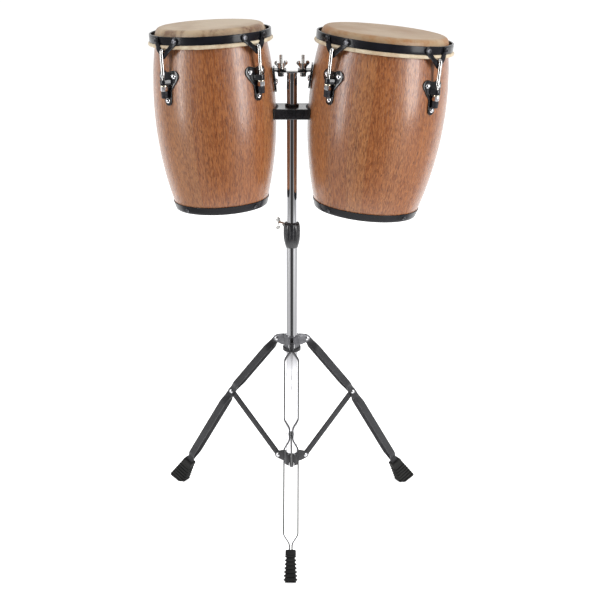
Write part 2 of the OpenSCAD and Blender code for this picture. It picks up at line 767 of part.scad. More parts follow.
module leg(i) {
    color([0.22, 0.22, 0.23]) rotate([0, 0, leg_az[i]]) {
        leg_strip();
        mirror([0, 1, 0]) leg_strip();
    }
}

module knee_rivet(i) {
    color("silver") rotate([0, 0, leg_az[i]]) translate([knee_r, 0, knee_z]) rivet(knee_in + leg_t);
}

module strut(i) {
    color([0.24, 0.24, 0.25]) rotate([0, 0, leg_az[i]]) translate([knee_r, 0, knee_z])
        rotate([0, 180 - strut_slope, 0]) difference() {
            union() {
                translate([0, -strut_t / 2, -strut_w / 2]) cube([strut_len, strut_t, strut_w]);
                for (x = [0, strut_len]) translate([x, 0, 0]) rod_y(strut_w / 2, -strut_t / 2, strut_t / 2);
            }
            for (x = [0, strut_len]) translate([x, 0, 0]) rod_y(rivet_d / 2 + pin_clear, -strut_t, strut_t);
        }
}

// A ribbed rubber boot, cut level with the floor, with a pocket for the two strips.
module foot(i) {
    ribs = 7;
    pitch = (foot_len - 10) / ribs;
    top_w = 20;
    top_len = 22;
    color([0.07, 0.07, 0.07]) rotate([0, 0, leg_az[i]]) difference() {
        translate([knee_r, 0, knee_z]) rotate([0, leg_slope, 0]) difference() {
            translate([leg_lower - foot_len, 0, 0]) {
                translate([0, -top_w / 2, -top_len / 2]) cube([12, top_w, top_len]);
                for (k = [0 : ribs + 4]) let (
                    grow = min(1, (k + 1) / ribs),
                    w = top_w + (sole_w - top_w) * grow,
                    l = top_len + (sole_len * sin(leg_slope) - top_len) * grow) {
                    translate([10 + k * pitch, -w / 2, -l / 2]) cube([pitch * 0.6, w, l]);
                    translate([10 + k * pitch, -w / 2 + 1.5, -l / 2 + 1.5])
                        cube([pitch + overlap, w - 3, l - 3]);
                }
            }
            translate([0, -foot_gap - leg_t, -leg_w / 2]) cube([strip_end, 2 * (foot_gap + leg_t), leg_w]);
        }
        translate([0, -100, -200]) cube([600, 200, 200]);
    }
}

shell(0);  // small_shell
head_skin(0);  // small_head_skin
flesh_ring(0);  // small_flesh_ring
tension_hoop(0);  // small_tension_hoop
hoop_ears(0);  // small_hoop_ears
socket_screws(0);  // small_socket_screws
tuning_rods(0);  // small_tuning_rods
tuning_nut(0, 0);  // small_tuning_nut_1
tuning_nut(0, 1);  // small_tuning_nut_2
tuning_nut(0, 2);  // small_tuning_nut_3
tuning_nut(0, 3);  // small_tuning_nut_4
rod_caps(0);  // small_rod_caps
lug_plates(0);  // small_lug_plates
shell_bolts(0);  // small_shell_bolts
backing_plates(0);  // small_backing_plates
foot_band(0);  // small_foot_band
mount_bracket(0);  // small_mount_bracket
shell(1);  // large_shell
head_skin(1);  // large_head_skin
flesh_ring(1);  // large_flesh_ring
tension_hoop(1);  // large_tension_hoop
hoop_ears(1);  // large_hoop_ears
socket_screws(1);  // large_socket_screws
tuning_rods(1);  // large_tuning_rods
tuning_nut(1, 0);  // large_tuning_nut_1
tuning_nut(1, 1);  // large_tuning_nut_2
tuning_nut(1, 2);  // large_tuning_nut_3
tuning_nut(1, 3);  // large_tuning_nut_4
rod_caps(1);  // large_rod_caps
lug_plates(1);  // large_lug_plates
shell_bolts(1);  // large_shell_bolts
backing_plates(1);  // large_backing_plates
foot_band(1);  // large_foot_band
mount_bracket(1);  // large_mount_bracket
lower_tube();
height_collar();
collar_bush();
height_wing_screw();
upper_tube();
top_plate();
small_wing_nut();
large_wing_nut();
rest_bar();
rest_pads();
leg_collar();
collar_rivets();
leg_lock_screw();
lower_hub();
leg(0);  // leg_1
leg(1);  // leg_2
leg(2);  // leg_3
knee_rivet(0);  // knee_rivet_1
knee_rivet(1);  // knee_rivet_2
knee_rivet(2);  // knee_rivet_3
strut(0);  // strut_1
strut(1);  // strut_2
strut(2);  // strut_3
foot(0);  // foot_1
foot(1);  // foot_2
foot(2);  // foot_3
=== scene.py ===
import json
import math

import bmesh
import bpy
from mathutils import Matrix, Vector


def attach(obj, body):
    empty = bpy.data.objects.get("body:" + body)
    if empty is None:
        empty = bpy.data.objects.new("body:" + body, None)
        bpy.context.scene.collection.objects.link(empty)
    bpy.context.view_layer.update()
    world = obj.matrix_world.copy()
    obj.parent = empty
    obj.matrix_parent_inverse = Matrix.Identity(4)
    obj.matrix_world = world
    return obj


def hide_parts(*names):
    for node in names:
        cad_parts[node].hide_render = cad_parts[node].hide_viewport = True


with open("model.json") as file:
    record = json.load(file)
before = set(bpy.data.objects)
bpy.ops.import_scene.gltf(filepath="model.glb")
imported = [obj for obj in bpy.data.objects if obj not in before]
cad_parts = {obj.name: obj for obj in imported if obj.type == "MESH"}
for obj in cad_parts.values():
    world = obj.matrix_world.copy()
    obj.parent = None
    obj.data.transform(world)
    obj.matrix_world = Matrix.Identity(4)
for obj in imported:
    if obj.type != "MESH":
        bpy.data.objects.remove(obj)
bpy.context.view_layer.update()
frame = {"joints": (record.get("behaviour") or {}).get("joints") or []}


# ---- Camera, light and floor ----
# A pair of small congas on their stand, seen from the front and a little above. Two tall soft
# lights stand left and right of the viewer, the backdrop is white, and the viewer's side is dim.

CAMERA_PLACE = (0.0153, -2.2, 1.171)
CAMERA_DOWN = 18.45
CAMERA_ROLL = 0.17
CAMERA_LENS = 74.46

camera_data = bpy.data.cameras.new("camera")
camera_data.lens = CAMERA_LENS
camera_data.sensor_width = 36
camera = bpy.data.objects.new("camera", camera_data)
camera.matrix_world = (Matrix.Translation(CAMERA_PLACE)
                       @ Matrix.Rotation(math.radians(90 - CAMERA_DOWN), 4, "X")
                       @ Matrix.Rotation(math.radians(CAMERA_ROLL), 4, "Z"))
bpy.context.scene.collection.objects.link(camera)
bpy.context.scene.camera = camera
bpy.context.scene.view_settings.view_transform = "Standard"


def soft_light(name, azimuth, elevation, distance, width, height, watts):
    """A rectangular light that faces the drums. Azimuth 0 is the viewer's side."""
    light = bpy.data.lights.new(name, "AREA")
    light.shape = "RECTANGLE"
    light.size = width
    light.size_y = height
    light.energy = watts
    lamp = bpy.data.objects.new(name, light)
    turn, rise = math.radians(azimuth), math.radians(elevation)
    aim = Vector((0, 0, 0.7))
    away = Vector((math.sin(turn) * math.cos(rise), -math.cos(turn) * math.cos(rise), math.sin(rise)))
    lamp.location = aim + away * distance
    lamp.rotation_euler = away.to_track_quat("Z", "Y").to_euler()
    bpy.context.scene.collection.objects.link(lamp)


soft_light("left_light", -62, 14, 2.2, 0.5, 2.0, 26)
soft_light("right_light", 54, 14, 2.2, 0.8, 2.0, 44)
soft_light("top_light", 0, 78, 2.2, 2.4, 2.0, 8)


def node(tree, kind, links=None, **settings):
    """Adds a shader node, with its settings, and its inputs linked or given values."""
    made = tree.nodes.new("ShaderNode" + kind)
    for key, value in settings.items():
        setattr(made, key, value)
    for key, value in (links or {}).items():
        if isinstance(value, bpy.types.NodeSocket):
            tree.links.new(value, made.inputs[key])
        else:
            made.inputs[key].default_value = value
    return made


def maths(tree, operation, a, b=0.0):
    """The result of one step of arithmetic on two sockets or numbers."""
    return node(tree, "Math", {0: a, 1: b}, operation=operation).outputs[0]


def ramped(tree, value, low, high, to_low=0.0, to_high=1.0):
    """A value's stretch from low to high, spread smoothly over another stretch."""
    links = {"Value": value, "From Min": low, "From Max": high, "To Min": to_low, "To Max": to_high}
    return node(tree, "MapRange", links, interpolation_type="SMOOTHSTEP").outputs[0]


def studio_ring(tree, place, dim, side, back):
    """A brightness round the pole: low before the viewer, middling beside, high behind."""
    at = node(tree, "SeparateXYZ", {0: place})
    ahead = maths(tree, "MULTIPLY", at.outputs["Y"], -1)
    aside = maths(tree, "ABSOLUTE", maths(tree, "ARCTAN2", at.outputs["X"], ahead))
    beside = ramped(tree, aside, 0.3, 0.62, 0.0, side - dim)
    behind = ramped(tree, aside, 1.85, 2.15, 0.0, back - side)
    return maths(tree, "ADD", maths(tree, "ADD", beside, behind), dim)


world = bpy.data.worlds.new("studio")
bpy.context.scene.world = world
world.use_nodes = True
sky = world.node_tree
backdrop = sky.nodes["Background"]
backdrop.inputs["Color"].default_value = (1, 1, 1, 1)
direction = node(sky, "TexCoord").outputs["Generated"]
sky.links.new(studio_ring(sky, direction, 0.04, 0.4, 1.05), backdrop.inputs["Strength"])

FLOOR_HALF = 6.0
PALE_TO = 0.66
DIM_FROM = 1.0
FLOOR_GLOW = 0.75

floor_data = bpy.data.meshes.new("floor")
shape = bmesh.new()
bmesh.ops.create_grid(shape, x_segments=1, y_segments=1, size=FLOOR_HALF)
shape.to_mesh(floor_data)
shape.free()
floor = bpy.data.objects.new("floor", floor_data)
bpy.context.scene.collection.objects.link(floor)
paper = bpy.data.materials.new("studio_paper")
paper.use_nodes = True
sheet = paper.node_tree
pale = sheet.nodes["Principled BSDF"]
pale.inputs["Roughness"].default_value = 0.9
pale.inputs["Emission Color"].default_value = (1, 1, 1, 1)
# Painted light: the floor glows, so it stays white round the drums without lamps. Beyond a metre from
# the pole its colour and glow fall to painted shade: dark on the viewer's side, grey at the sides,
# still pale behind.
ground = node(sheet, "TexCoord").outputs["Object"]
distance = node(sheet, "VectorMath", {0: ground}, operation="LENGTH").outputs["Value"]
painted_floor_light = maths(sheet, "MAXIMUM", studio_ring(sheet, ground, 0.0, 0.3, 1.0),
                 ramped(sheet, distance, DIM_FROM, PALE_TO))
painted_floor_tint = node(sheet, "MapRange", {"Value": painted_floor_light, "To Min": 0.03, "To Max": 0.93})
sheet.links.new(painted_floor_tint.outputs[0], pale.inputs["Base Color"])
sheet.links.new(maths(sheet, "MULTIPLY", painted_floor_light, FLOOR_GLOW), pale.inputs["Emission Strength"])
floor_data.materials.append(paper)


# ---- Staved shells ----
# Each shell is glued up from tapered mahogany staves, turned to a smooth barrel and lacquered
# outside. The inside stays bare wood. Its top is rounded over where the rawhide bends.

SHELL_H = 320
SHELL_WALL = 10
EDGE_R = 8
NUT_MID = 226.2
DRUMS = {
    "small": {"side": -1, "top": 92, "belly": 108, "foot": 81.5, "belly_up": 180, "hoop": 106.5,
              "hang": 241.5},
    "large": {"side": 1, "top": 107.5, "belly": 122, "foot": 91, "belly_up": 197, "hoop": 120.2,
              "hang": 250},
}
STAVES = {"small": 20, "large": 22}


def bow(drum, z):
    """Outer radius of a shell at a height above its foot: one arc below the belly, one above."""
    high = z > drum["belly_up"]
    rise = SHELL_H - drum["belly_up"] if high else drum["belly_up"]
    fall = drum["belly"] - (drum["top"] if high else drum["foot"])
    big = (rise * rise + fall * fall) / (2 * fall)
    return drum["belly"] - big + math.sqrt(big * big - (z - drum["belly_up"]) ** 2)


for size, drum in DRUMS.items():
    turns = [j for j in frame["joints"] if j["name"].startswith(size + "_tuning_")]
    up = Vector(turns[0]["axis"]).normalized()
    nuts_mid = sum((Vector(j["pos_m"]) for j in turns), Vector()) / len(turns)
    foot_at = nuts_mid - up * NUT_MID * 0.001
    inward = Vector((0, -drum["side"], 0)).cross(up)
    drum["axes"] = Matrix((inward, up.cross(inward), up)).transposed().to_4x4()
    drum["foot_at"] = foot_at
    drum["place"] = Matrix.Translation(foot_at) @ drum["axes"] @ Matrix.Scale(0.001, 4)
    seen = [drum["place"].inverted() @ Vector(j["pos_m"]) for j in turns]
    drum["lugs"] = [math.atan2(p.y, p.x) for p in seen]
    drum["rod_r"] = seen[0].xy.length


def turned(outline, steps=64):
    """Turns (radius, height) points about Z. An outline that starts off the axis is closed."""
    bm = bmesh.new()
    verts = [bm.verts.new((r, 0, z)) for r, z in outline]
    edges = [bm.edges.new(pair) for pair in zip(verts, verts[1:])]
    if outline[0][0] > 0:
        edges.append(bm.edges.new((verts[-1], verts[0])))
    bmesh.ops.spin(bm, geom=verts + edges, cent=(0, 0, 0), axis=(0, 0, 1), angle=2 * math.pi,
                   steps=steps, use_merge=True, use_duplicate=False)
    return bm


def arc(x, y, r, start, end, steps=6):
    """Points of an arc, with its angles in degrees."""
    angles = [math.radians(start + (end - start) * k / steps) for k in range(steps + 1)]
    return [(x + r * math.cos(a), y + r * math.sin(a)) for a in angles]


def finished(bm, name, place, body, materials, stands_for, sharp=35):
    """Makes a shape in millimetres into a piece: placed, smoothed, painted and tied to its body."""
    bmesh.ops.remove_doubles(bm, verts=bm.verts, dist=0.002)
    bmesh.ops.recalc_face_normals(bm, faces=bm.faces)
    bm.transform(place)
    mesh = bpy.data.meshes.new(name)
    bm.to_mesh(mesh)
    bm.free()
    for material in materials:
        mesh.materials.append(material)
    mesh.polygons.foreach_set("use_smooth", [True] * len(mesh.polygons))
    mesh.set_sharp_from_angle(angle=math.radians(sharp))
    piece = bpy.data.objects.new(name, mesh)
    bpy.context.scene.collection.objects.link(piece)
    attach(piece, body)
    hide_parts(*stands_for)


def new_group(name, inputs, outputs):
    """A shader node group, with its input and output nodes."""
    group = bpy.data.node_groups.new(name, "ShaderNodeTree")
    for label, kind, value in inputs:
        socket = group.interface.new_socket(label, in_out="INPUT", socket_type="NodeSocket" + kind)
        if value is not None:
            socket.default_value = value
    for label, kind in outputs:
        group.interface.new_socket(label, in_out="OUTPUT", socket_type="NodeSocket" + kind)
    return group, group.nodes.new("NodeGroupInput"), group.nodes.new("NodeGroupOutput")


def mixed(tree, factor, a, b):
    """One colour blended over another."""
    return node(tree, "Mix", {0: factor, 6: a, 7: b}, data_type="RGBA").outputs[2]


def new_material(name, colour, roughness, metallic=0.0, coat=0.0, coat_roughness=0.1, shine=0.5):
    """A material with its plain values on the shader's own sockets."""
    material = bpy.data.materials.new(name)
    material.use_nodes = True
    shader = material.node_tree.nodes["Principled BSDF"]
    shader.inputs["Base Color"].default_value = (*colour, 1)
    shader.inputs["Roughness"].default_value = roughness
    shader.inputs["Metallic"].default_value = metallic
    shader.inputs["Coat Weight"].default_value = coat
    shader.inputs["Coat Roughness"].default_value = coat_roughness
    shader.inputs["Specular IOR Level"].default_value = shine
    return material, shader


# Wood in a drum's own frame: a stave's own tone, broad figure, fine grain and short dark pores.
wood, given, made = new_group(
    "stave_wood",
    [("Place", "Vector", None), ("Staves", "Float", 20.0), ("Light", "Color", (1, 1, 1, 1)),
     ("Middle", "Color", (0.5, 0.5, 0.5, 1)), ("Dark", "Color", (0.1, 0.1, 0.1, 1))],
    [("Color", "Color"), ("Roughness", "Float"), ("Height", "Float")])
place_xyz = node(wood, "SeparateXYZ", {0: given.outputs["Place"]})
around = maths(wood, "ARCTAN2", place_xyz.outputs["Y"], place_xyz.outputs["X"])
round_at = maths(wood, "MULTIPLY", around, 1 / (2 * math.pi))
stave_at = maths(wood, "MULTIPLY", round_at, given.outputs["Staves"])
stave_id = maths(wood, "FLOOR", stave_at)
stave_in = maths(wood, "FRACT", stave_at)
own = node(wood, "TexWhiteNoise", {"W": maths(wood, "ADD", stave_id, 40.5)}, noise_dimensions="1D")
arc_at = maths(wood, "MULTIPLY", around, 0.11)
run_at = place_xyz.outputs["Z"]
shift = maths(wood, "MULTIPLY", own.outputs["Value"], 9.0)


def grain(across_scale, along_scale, detail, offset):
    """Noise drawn out along the staves, different in each."""
    spot = node(wood, "CombineXYZ", {"X": maths(wood, "MULTIPLY", arc_at, across_scale),
                                     "Y": maths(wood, "MULTIPLY", run_at, along_scale),
                                     "Z": maths(wood, "ADD", shift, offset)})
    return node(wood, "TexNoise", {"Vector": spot.outputs[0], "Scale": 1.0, "Detail": detail,
                                   "Roughness": 0.6}).outputs["Fac"]


figure = ramped(wood, grain(75, 5, 2.0, 0.0), 0.36, 0.66)
fine = ramped(wood, grain(520, 16, 3.0, 3.1), 0.3, 0.72)
pores = ramped(wood, grain(1100, 120, 1.0, 7.7), 0.56, 0.66)
streaks = ramped(wood, grain(260, 6, 2.0, 5.3), 0.6, 0.8)
flecks = ramped(wood, grain(430, 96, 2.0, 1.7), 0.4, 0.6)
tone = given.outputs["Middle"]
for mask, share, shade in ((figure, 0.35, "Light"), (flecks, 0.8, "Light"), (fine, 0.4, "Middle"),
                           (streaks, 0.5, "Dark"), (pores, 0.75, "Dark")):
    tone = mixed(wood, maths(wood, "MULTIPLY", mask, share), tone, given.outputs[shade])
stave_tone = node(wood, "HueSaturation", {
    "Hue": ramped(wood, own.outputs["Value"], 0, 1, 0.496, 0.502),
    "Saturation": ramped(wood, own.outputs["Value"], 0, 1, 1.03, 0.98),
    "Value": ramped(wood, own.outputs["Value"], 0, 1, 0.94, 1.06), "Color": tone})
joint = ramped(wood, maths(wood, "ABSOLUTE", maths(wood, "SUBTRACT", stave_in, 0.5)), 0.488, 0.5)
tone = mixed(wood, maths(wood, "MULTIPLY", joint, 0.25), stave_tone.outputs[0], given.outputs["Dark"])
wood.links.new(tone, made.inputs["Color"])
wood.links.new(ramped(wood, fine, 0, 1, 0.26, 0.36), made.inputs["Roughness"])
sunk = maths(wood, "ADD", maths(wood, "MULTIPLY", pores, 0.6), maths(wood, "MULTIPLY", joint, 0.5))
wood.links.new(maths(wood, "SUBTRACT", fine, sunk), made.inputs["Height"])


def drum_place(tree, drum):
    """A point of a drum's surface in the drum's own frame, in metres."""
    point = node(tree, "TexCoord")
    moved = node(tree, "Mapping", {"Vector": point.outputs["Object"], "Location": drum["foot_at"],
                                   "Rotation": drum["axes"].to_euler()}, vector_type="TEXTURE")
    return moved.outputs[0]


def wood_material(name, size, light, middle, dark, coat, depth):
    """Mahogany staves, lacquered when coat is above nothing."""
    material, shader = new_material(name, middle, 0.4, coat=coat, coat_roughness=0.22)
    tree = material.node_tree
    staves = tree.nodes.new("ShaderNodeGroup")
    staves.node_tree = wood
    tree.links.new(drum_place(tree, DRUMS[size]), staves.inputs["Place"])
    for key, value in (("Staves", STAVES[size]), ("Light", (*light, 1)), ("Middle", (*middle, 1)),
                       ("Dark", (*dark, 1))):
        staves.inputs[key].default_value = value
    bump = node(tree, "Bump", {"Height": staves.outputs["Height"], "Strength": depth,
                               "Distance": 0.0002})
    for made_by, key in ((staves.outputs["Color"], "Base Color"), (bump.outputs[0], "Normal"),
                         (staves.outputs["Roughness"], "Roughness")):
        tree.links.new(made_by, shader.inputs[key])
    return material


for size, drum in DRUMS.items():
    edge_z = SHELL_H - EDGE_R
    edge_x = bow(drum, edge_z) - EDGE_R
    levels = [edge_z * k / 26 for k in range(27)]
    outline = [(bow(drum, z), z) for z in levels] + arc(edge_x, edge_z, EDGE_R, 12, 90, 7)
    outline += [(bow(drum, z) - SHELL_WALL, z) for z in reversed(levels)]
    bm = turned(outline, 128)
    for face in bm.faces:
        middle = face.calc_center_median()
        inner = middle.xy.length < bow(drum, min(middle.z, SHELL_H)) - SHELL_WALL * 0.7
        face.material_index = 1 if inner and middle.z < edge_z else 0
    lacquered = wood_material(size + "_lacquered_staves", size, (0.46, 0.19, 0.07),
                              (0.235, 0.08, 0.028), (0.07, 0.022, 0.009), 0.5, 0.5)
    bare = wood_material(size + "_bare_staves", size, (0.5, 0.3, 0.17), (0.4, 0.22, 0.12),
                         (0.26, 0.13, 0.07), 0.0, 0.8)
    finished(bm, size + "_staved_shell", drum["place"], size + "_drum",
             [lacquered, bare], [size + "_shell"], 50)


# ---- Rawhide heads ----
# Buffalo rawhide, soaked and pulled over the bearing edge, then dried stiff. Its rim is tucked
# round a steel ring below the hoop. The small head is greyer, the large one more golden.

HOOP_TOP = 312
HOOP_H = 14
HOOP_T = 3
RING_R = 3.2
RING_IN = 0.5
RING_Z = HOOP_TOP - HOOP_H - 3.25
SKIN_T = 1.4
HIDES = {
    "small": {"pale": (0.5, 0.375, 0.24), "deep": (0.38, 0.255, 0.15), "edge": (0.16, 0.075, 0.035)},
    "large": {"pale": (0.43, 0.3, 0.175), "deep": (0.35, 0.215, 0.115), "edge": (0.33, 0.15, 0.045)},
}

# Worn or worked surfaces: two tones in soft patches, fine grain, and a matching bump.
worked, given, made = new_group(
    "worked_surface",
    [("Patch Scale", "Float", 12.0), ("Grain Scale", "Float", 900.0), ("First", "Color", None),
     ("Second", "Color", None), ("Smooth", "Float", 0.3), ("Rough", "Float", 0.5),
     ("Depth", "Float", 0.2), ("Patch Stretch", "Vector", (1, 1, 1))],
    [("Color", "Color"), ("Roughness", "Float"), ("Normal", "Vector")])
spot = node(worked, "TexCoord")
drawn = node(worked, "VectorMath", {0: spot.outputs["Object"], 1: given.outputs["Patch Stretch"]},
             operation="MULTIPLY")
patch = node(worked, "TexNoise", {"Vector": drawn.outputs[0], "Scale": given.outputs["Patch Scale"],
                                  "Detail": 4.0, "Roughness": 0.6})
patch = ramped(worked, patch.outputs["Fac"], 0.34, 0.68)
grains = node(worked, "TexNoise", {"Vector": spot.outputs["Object"], "Detail": 2.0,
                                   "Scale": given.outputs["Grain Scale"], "Roughness": 0.65})
worked.links.new(mixed(worked, patch, given.outputs["First"], given.outputs["Second"]),
                 made.inputs["Color"])
blend = maths(worked, "ADD", maths(worked, "MULTIPLY", patch, 0.6),
              maths(worked, "MULTIPLY", grains.outputs["Fac"], 0.4))
rough = node(worked, "MapRange", {"Value": blend, "To Min": given.outputs["Smooth"],
                                  "To Max": given.outputs["Rough"]})
worked.links.new(rough.outputs[0], made.inputs["Roughness"])
relief = node(worked, "Bump", {"Height": grains.outputs["Fac"], "Distance": 0.0004,
                               "Strength": given.outputs["Depth"]})
worked.links.new(relief.outputs[0], made.inputs["Normal"])


def worked_material(name, first, second, smooth, rough, patch=12, grain=900, depth=0.2,
                    metallic=0.0, coat=0.0, coat_roughness=0.1, stretch=(1, 1, 1), shine=0.5):
    """A material whose colour, roughness and normal come from the worked surface."""
    material, shader = new_material(name, first, smooth, metallic, coat, coat_roughness, shine)
    tree = material.node_tree
    surface = tree.nodes.new("ShaderNodeGroup")
    surface.node_tree = worked
    values = {"Patch Scale": patch, "Grain Scale": grain, "First": (*first, 1),
              "Second": (*second, 1), "Smooth": smooth, "Rough": rough, "Depth": depth,
              "Patch Stretch": stretch}
    for key, value in values.items():
        surface.inputs[key].default_value = value
    for made_by, key in (("Color", "Base Color"), ("Roughness", "Roughness"), ("Normal", "Normal")):
        tree.links.new(surface.outputs[made_by], shader.inputs[key])
    return material


def hide_material(size):
    """Rawhide: cloudy tones, darker and warmer where it bends over the edge, and a fine grain."""
    drum, tones = DRUMS[size], HIDES[size]
    material = worked_material(size + "_hide", tones["pale"], tones["deep"], 0.42, 0.62,
                               patch=9, grain=700, depth=0.35, coat=0.12, coat_roughness=0.35)
    tree = material.node_tree
    shader = tree.nodes["Principled BSDF"]
    cloudy = shader.inputs["Base Color"].links[0].from_socket
    at = node(tree, "SeparateXYZ", {0: drum_place(tree, drum)})
    flat = node(tree, "CombineXYZ", {"X": at.outputs["X"], "Y": at.outputs["Y"]})
    out = node(tree, "VectorMath", {0: flat.outputs[0]}, operation="LENGTH").outputs["Value"]
    edge_at = (bow(drum, SHELL_H - EDGE_R) - EDGE_R) * 0.001
    bend = ramped(tree, out, edge_at - 0.004, edge_at + 0.008)
    vein = node(tree, "TexNoise", {"Vector": drum_place(tree, drum), "Scale": 26.0, "Detail": 5.0,
                                   "Roughness": 0.7, "Distortion": 0.6}).outputs["Fac"]
    streak = maths(tree, "MULTIPLY", bend, ramped(tree, vein, 0.4, 0.66))
    pores = node(tree, "TexVoronoi", {"Vector": drum_place(tree, drum), "Scale": 240.0})
    dots = ramped(tree, pores.outputs["Distance"], 0.1, 0.35, 0.1, 0.0)
    toned = mixed(tree, streak, cloudy, (*tones["edge"], 1))
    toned = mixed(tree, dots, toned, (*tones["edge"], 1))
    tree.links.new(toned, shader.inputs["Base Color"])
    shader.inputs["Subsurface Weight"].default_value = 0.12
    shader.inputs["Subsurface Radius"].default_value = (0.006, 0.004, 0.002)
    return material


flesh_wrap = worked_material("rolled_hide", (0.7, 0.6, 0.44), (0.54, 0.41, 0.27), 0.5, 0.7,
                             patch=60, grain=500, depth=0.5)

for size, drum in DRUMS.items():
    edge_z = SHELL_H - EDGE_R
    edge_x = bow(drum, edge_z) - EDGE_R
    inner_r = EDGE_R + 0.1
    hem_r = drum["hoop"] - RING_IN - RING_R - 0.15
    outline = [(0, edge_z + inner_r + SKIN_T), (edge_x * 0.5, edge_z + inner_r + SKIN_T)]
    outline += arc(edge_x, edge_z, inner_r + SKIN_T, 90, 10, 8) + [(hem_r, RING_Z)]
    outline += [(hem_r - SKIN_T, RING_Z)] + arc(edge_x, edge_z, inner_r, 10, 90, 8)
    outline += [(0, edge_z + inner_r)]
    finished(turned(outline, 96), size + "_hide_head", drum["place"], size + "_drum",
             [hide_material(size)], [size + "_head_skin"])

    ring = turned(arc(drum["hoop"] - RING_IN, RING_Z, RING_R, 0, 337.5, 15), 120)
    for vert in ring.verts:
        angle = math.atan2(vert.co.y, vert.co.x)
        swell = 0.16 * math.sin(angle * 9 + 1.3) + 0.12 * math.sin(angle * 23) - 0.2
        vert.co.z += swell * (1 if vert.co.z < RING_Z else -0.5)
    finished(ring, size + "_rolled_rim", drum["place"], size + "_drum",
             [flesh_wrap], [size + "_flesh_ring"])


# ---- Tension hoops and their ears ----
# Steel flat bar rolled on edge and welded, finished in satin black. Four V-shaped ears of pressed
# steel are screwed to it with socket screws. Each hooks a tuning rod.

EAR_HALF = 22
EAR_T = 2.4
EYE_T = 3.4
EYE_R = 6.4
EAR_FOOT = (0, 281, 5.2)
EAR_OUT = 4.7
HOOP_MID = HOOP_TOP - HOOP_H / 2
BAND_H = 14
BAND_T = 1.6


def move(x, y, z):
    """A shift in millimetres."""
    return Matrix.Translation((x, y, z))


def turn(axis, degrees):
    """A turn about one axis."""
    return Matrix.Rotation(math.radians(degrees), 4, axis)


def join(whole, part, place=Matrix()):
    """Adds a part to a larger shape, and frees it."""
    bmesh.ops.recalc_face_normals(part, faces=part.faces)
    part.transform(place)
    carried = bpy.data.meshes.new("carried")
    part.to_mesh(carried)
    part.free()
    whole.from_mesh(carried)
    bpy.data.meshes.remove(carried)


def slab(outline, low, high):
    """A flat outline in X and Y, given thickness along Z."""
    bm = bmesh.new()
    verts = [bm.verts.new((x, y, low)) for x, y in outline]
    edges = [bm.edges.new(pair) for pair in zip(verts, verts[1:] + verts[:1])]
    bmesh.ops.contextual_create(bm, geom=edges)
    raised = bmesh.ops.extrude_face_region(bm, geom=bm.faces[:], use_keep_orig=True)["geom"]
    bmesh.ops.translate(bm, vec=(0, 0, high - low),
                        verts=[part for part in raised if isinstance(part, bmesh.types.BMVert)])
    bmesh.ops.recalc_face_normals(bm, faces=bm.faces)
    return bm


def soften(bm, width, segments=2, sharper=35):
    """Rounds the edges that are sharper than an angle."""
    edges = [e for e in bm.edges if e.is_manifold and math.degrees(e.calc_face_angle(0)) > sharper]
    bmesh.ops.bevel(bm, geom=edges, offset=width, offset_type="OFFSET", segments=segments,
                    profile=0.5, affect="EDGES", clamp_overlap=True, material=-1)
    return bm


def sliced(bm, axis, places):
    """Cuts a shape across at places along X or Y, so it can be bent."""
    normal = (1, 0, 0) if axis == "X" else (0, 1, 0)
    for place in places:
        point = tuple(place * part for part in normal)
        bmesh.ops.bisect_plane(bm, geom=bm.verts[:] + bm.edges[:] + bm.faces[:], dist=0.001,
                               plane_co=point, plane_no=normal)
    return bm


def round_pin(r, low, high, steps=32):
    """A cylinder along Z."""
    return turned([(0, low), (r, low), (r, high), (0, high)], steps)


def screw_head(r, high, socket):
    """A button head along Z with a six-sided socket."""
    outline = [(0, high * 0.35), (socket, high * 0.35), (socket, high), (socket + 0.4, high)]
    outline += [(r * 0.82, high * 0.86), (r * 0.97, high * 0.45), (r, 0), (0, 0)]
    bm = turned(outline, 24)
    for vert in bm.verts:
        if 0.1 < vert.co.xy.length < socket + 0.1:
            sixth = (math.degrees(math.atan2(vert.co.y, vert.co.x)) % 60) - 30
            vert.co.xy *= math.cos(math.radians(30)) / math.cos(math.radians(sixth))
    return bm


def facing(lug, y, z, out):
    """Where Z points out of the hoop or shell: y to the side of a lug, z up, out from the axis."""
    return turn("Z", math.degrees(lug)) @ turn("Z", y) @ move(out, 0, z) @ turn("Y", 90)


def shell_slope(drum, z, half):
    """How far the shell's side leans in at a height, in degrees, over a stretch of it."""
    return math.degrees(math.atan((bow(drum, z - half) - bow(drum, z + half)) / (2 * half)))


hoop_black = worked_material("satin_black", (0.008, 0.008, 0.01), (0.012, 0.012, 0.016), 0.16, 0.26,
                             patch=40, grain=1400, depth=0.06, coat=0.08, shine=0.16)
dark_screw = worked_material("black_oxide", (0.09, 0.09, 0.1), (0.14, 0.14, 0.15), 0.24, 0.4,
                             patch=90, metallic=0.9, depth=0.08)

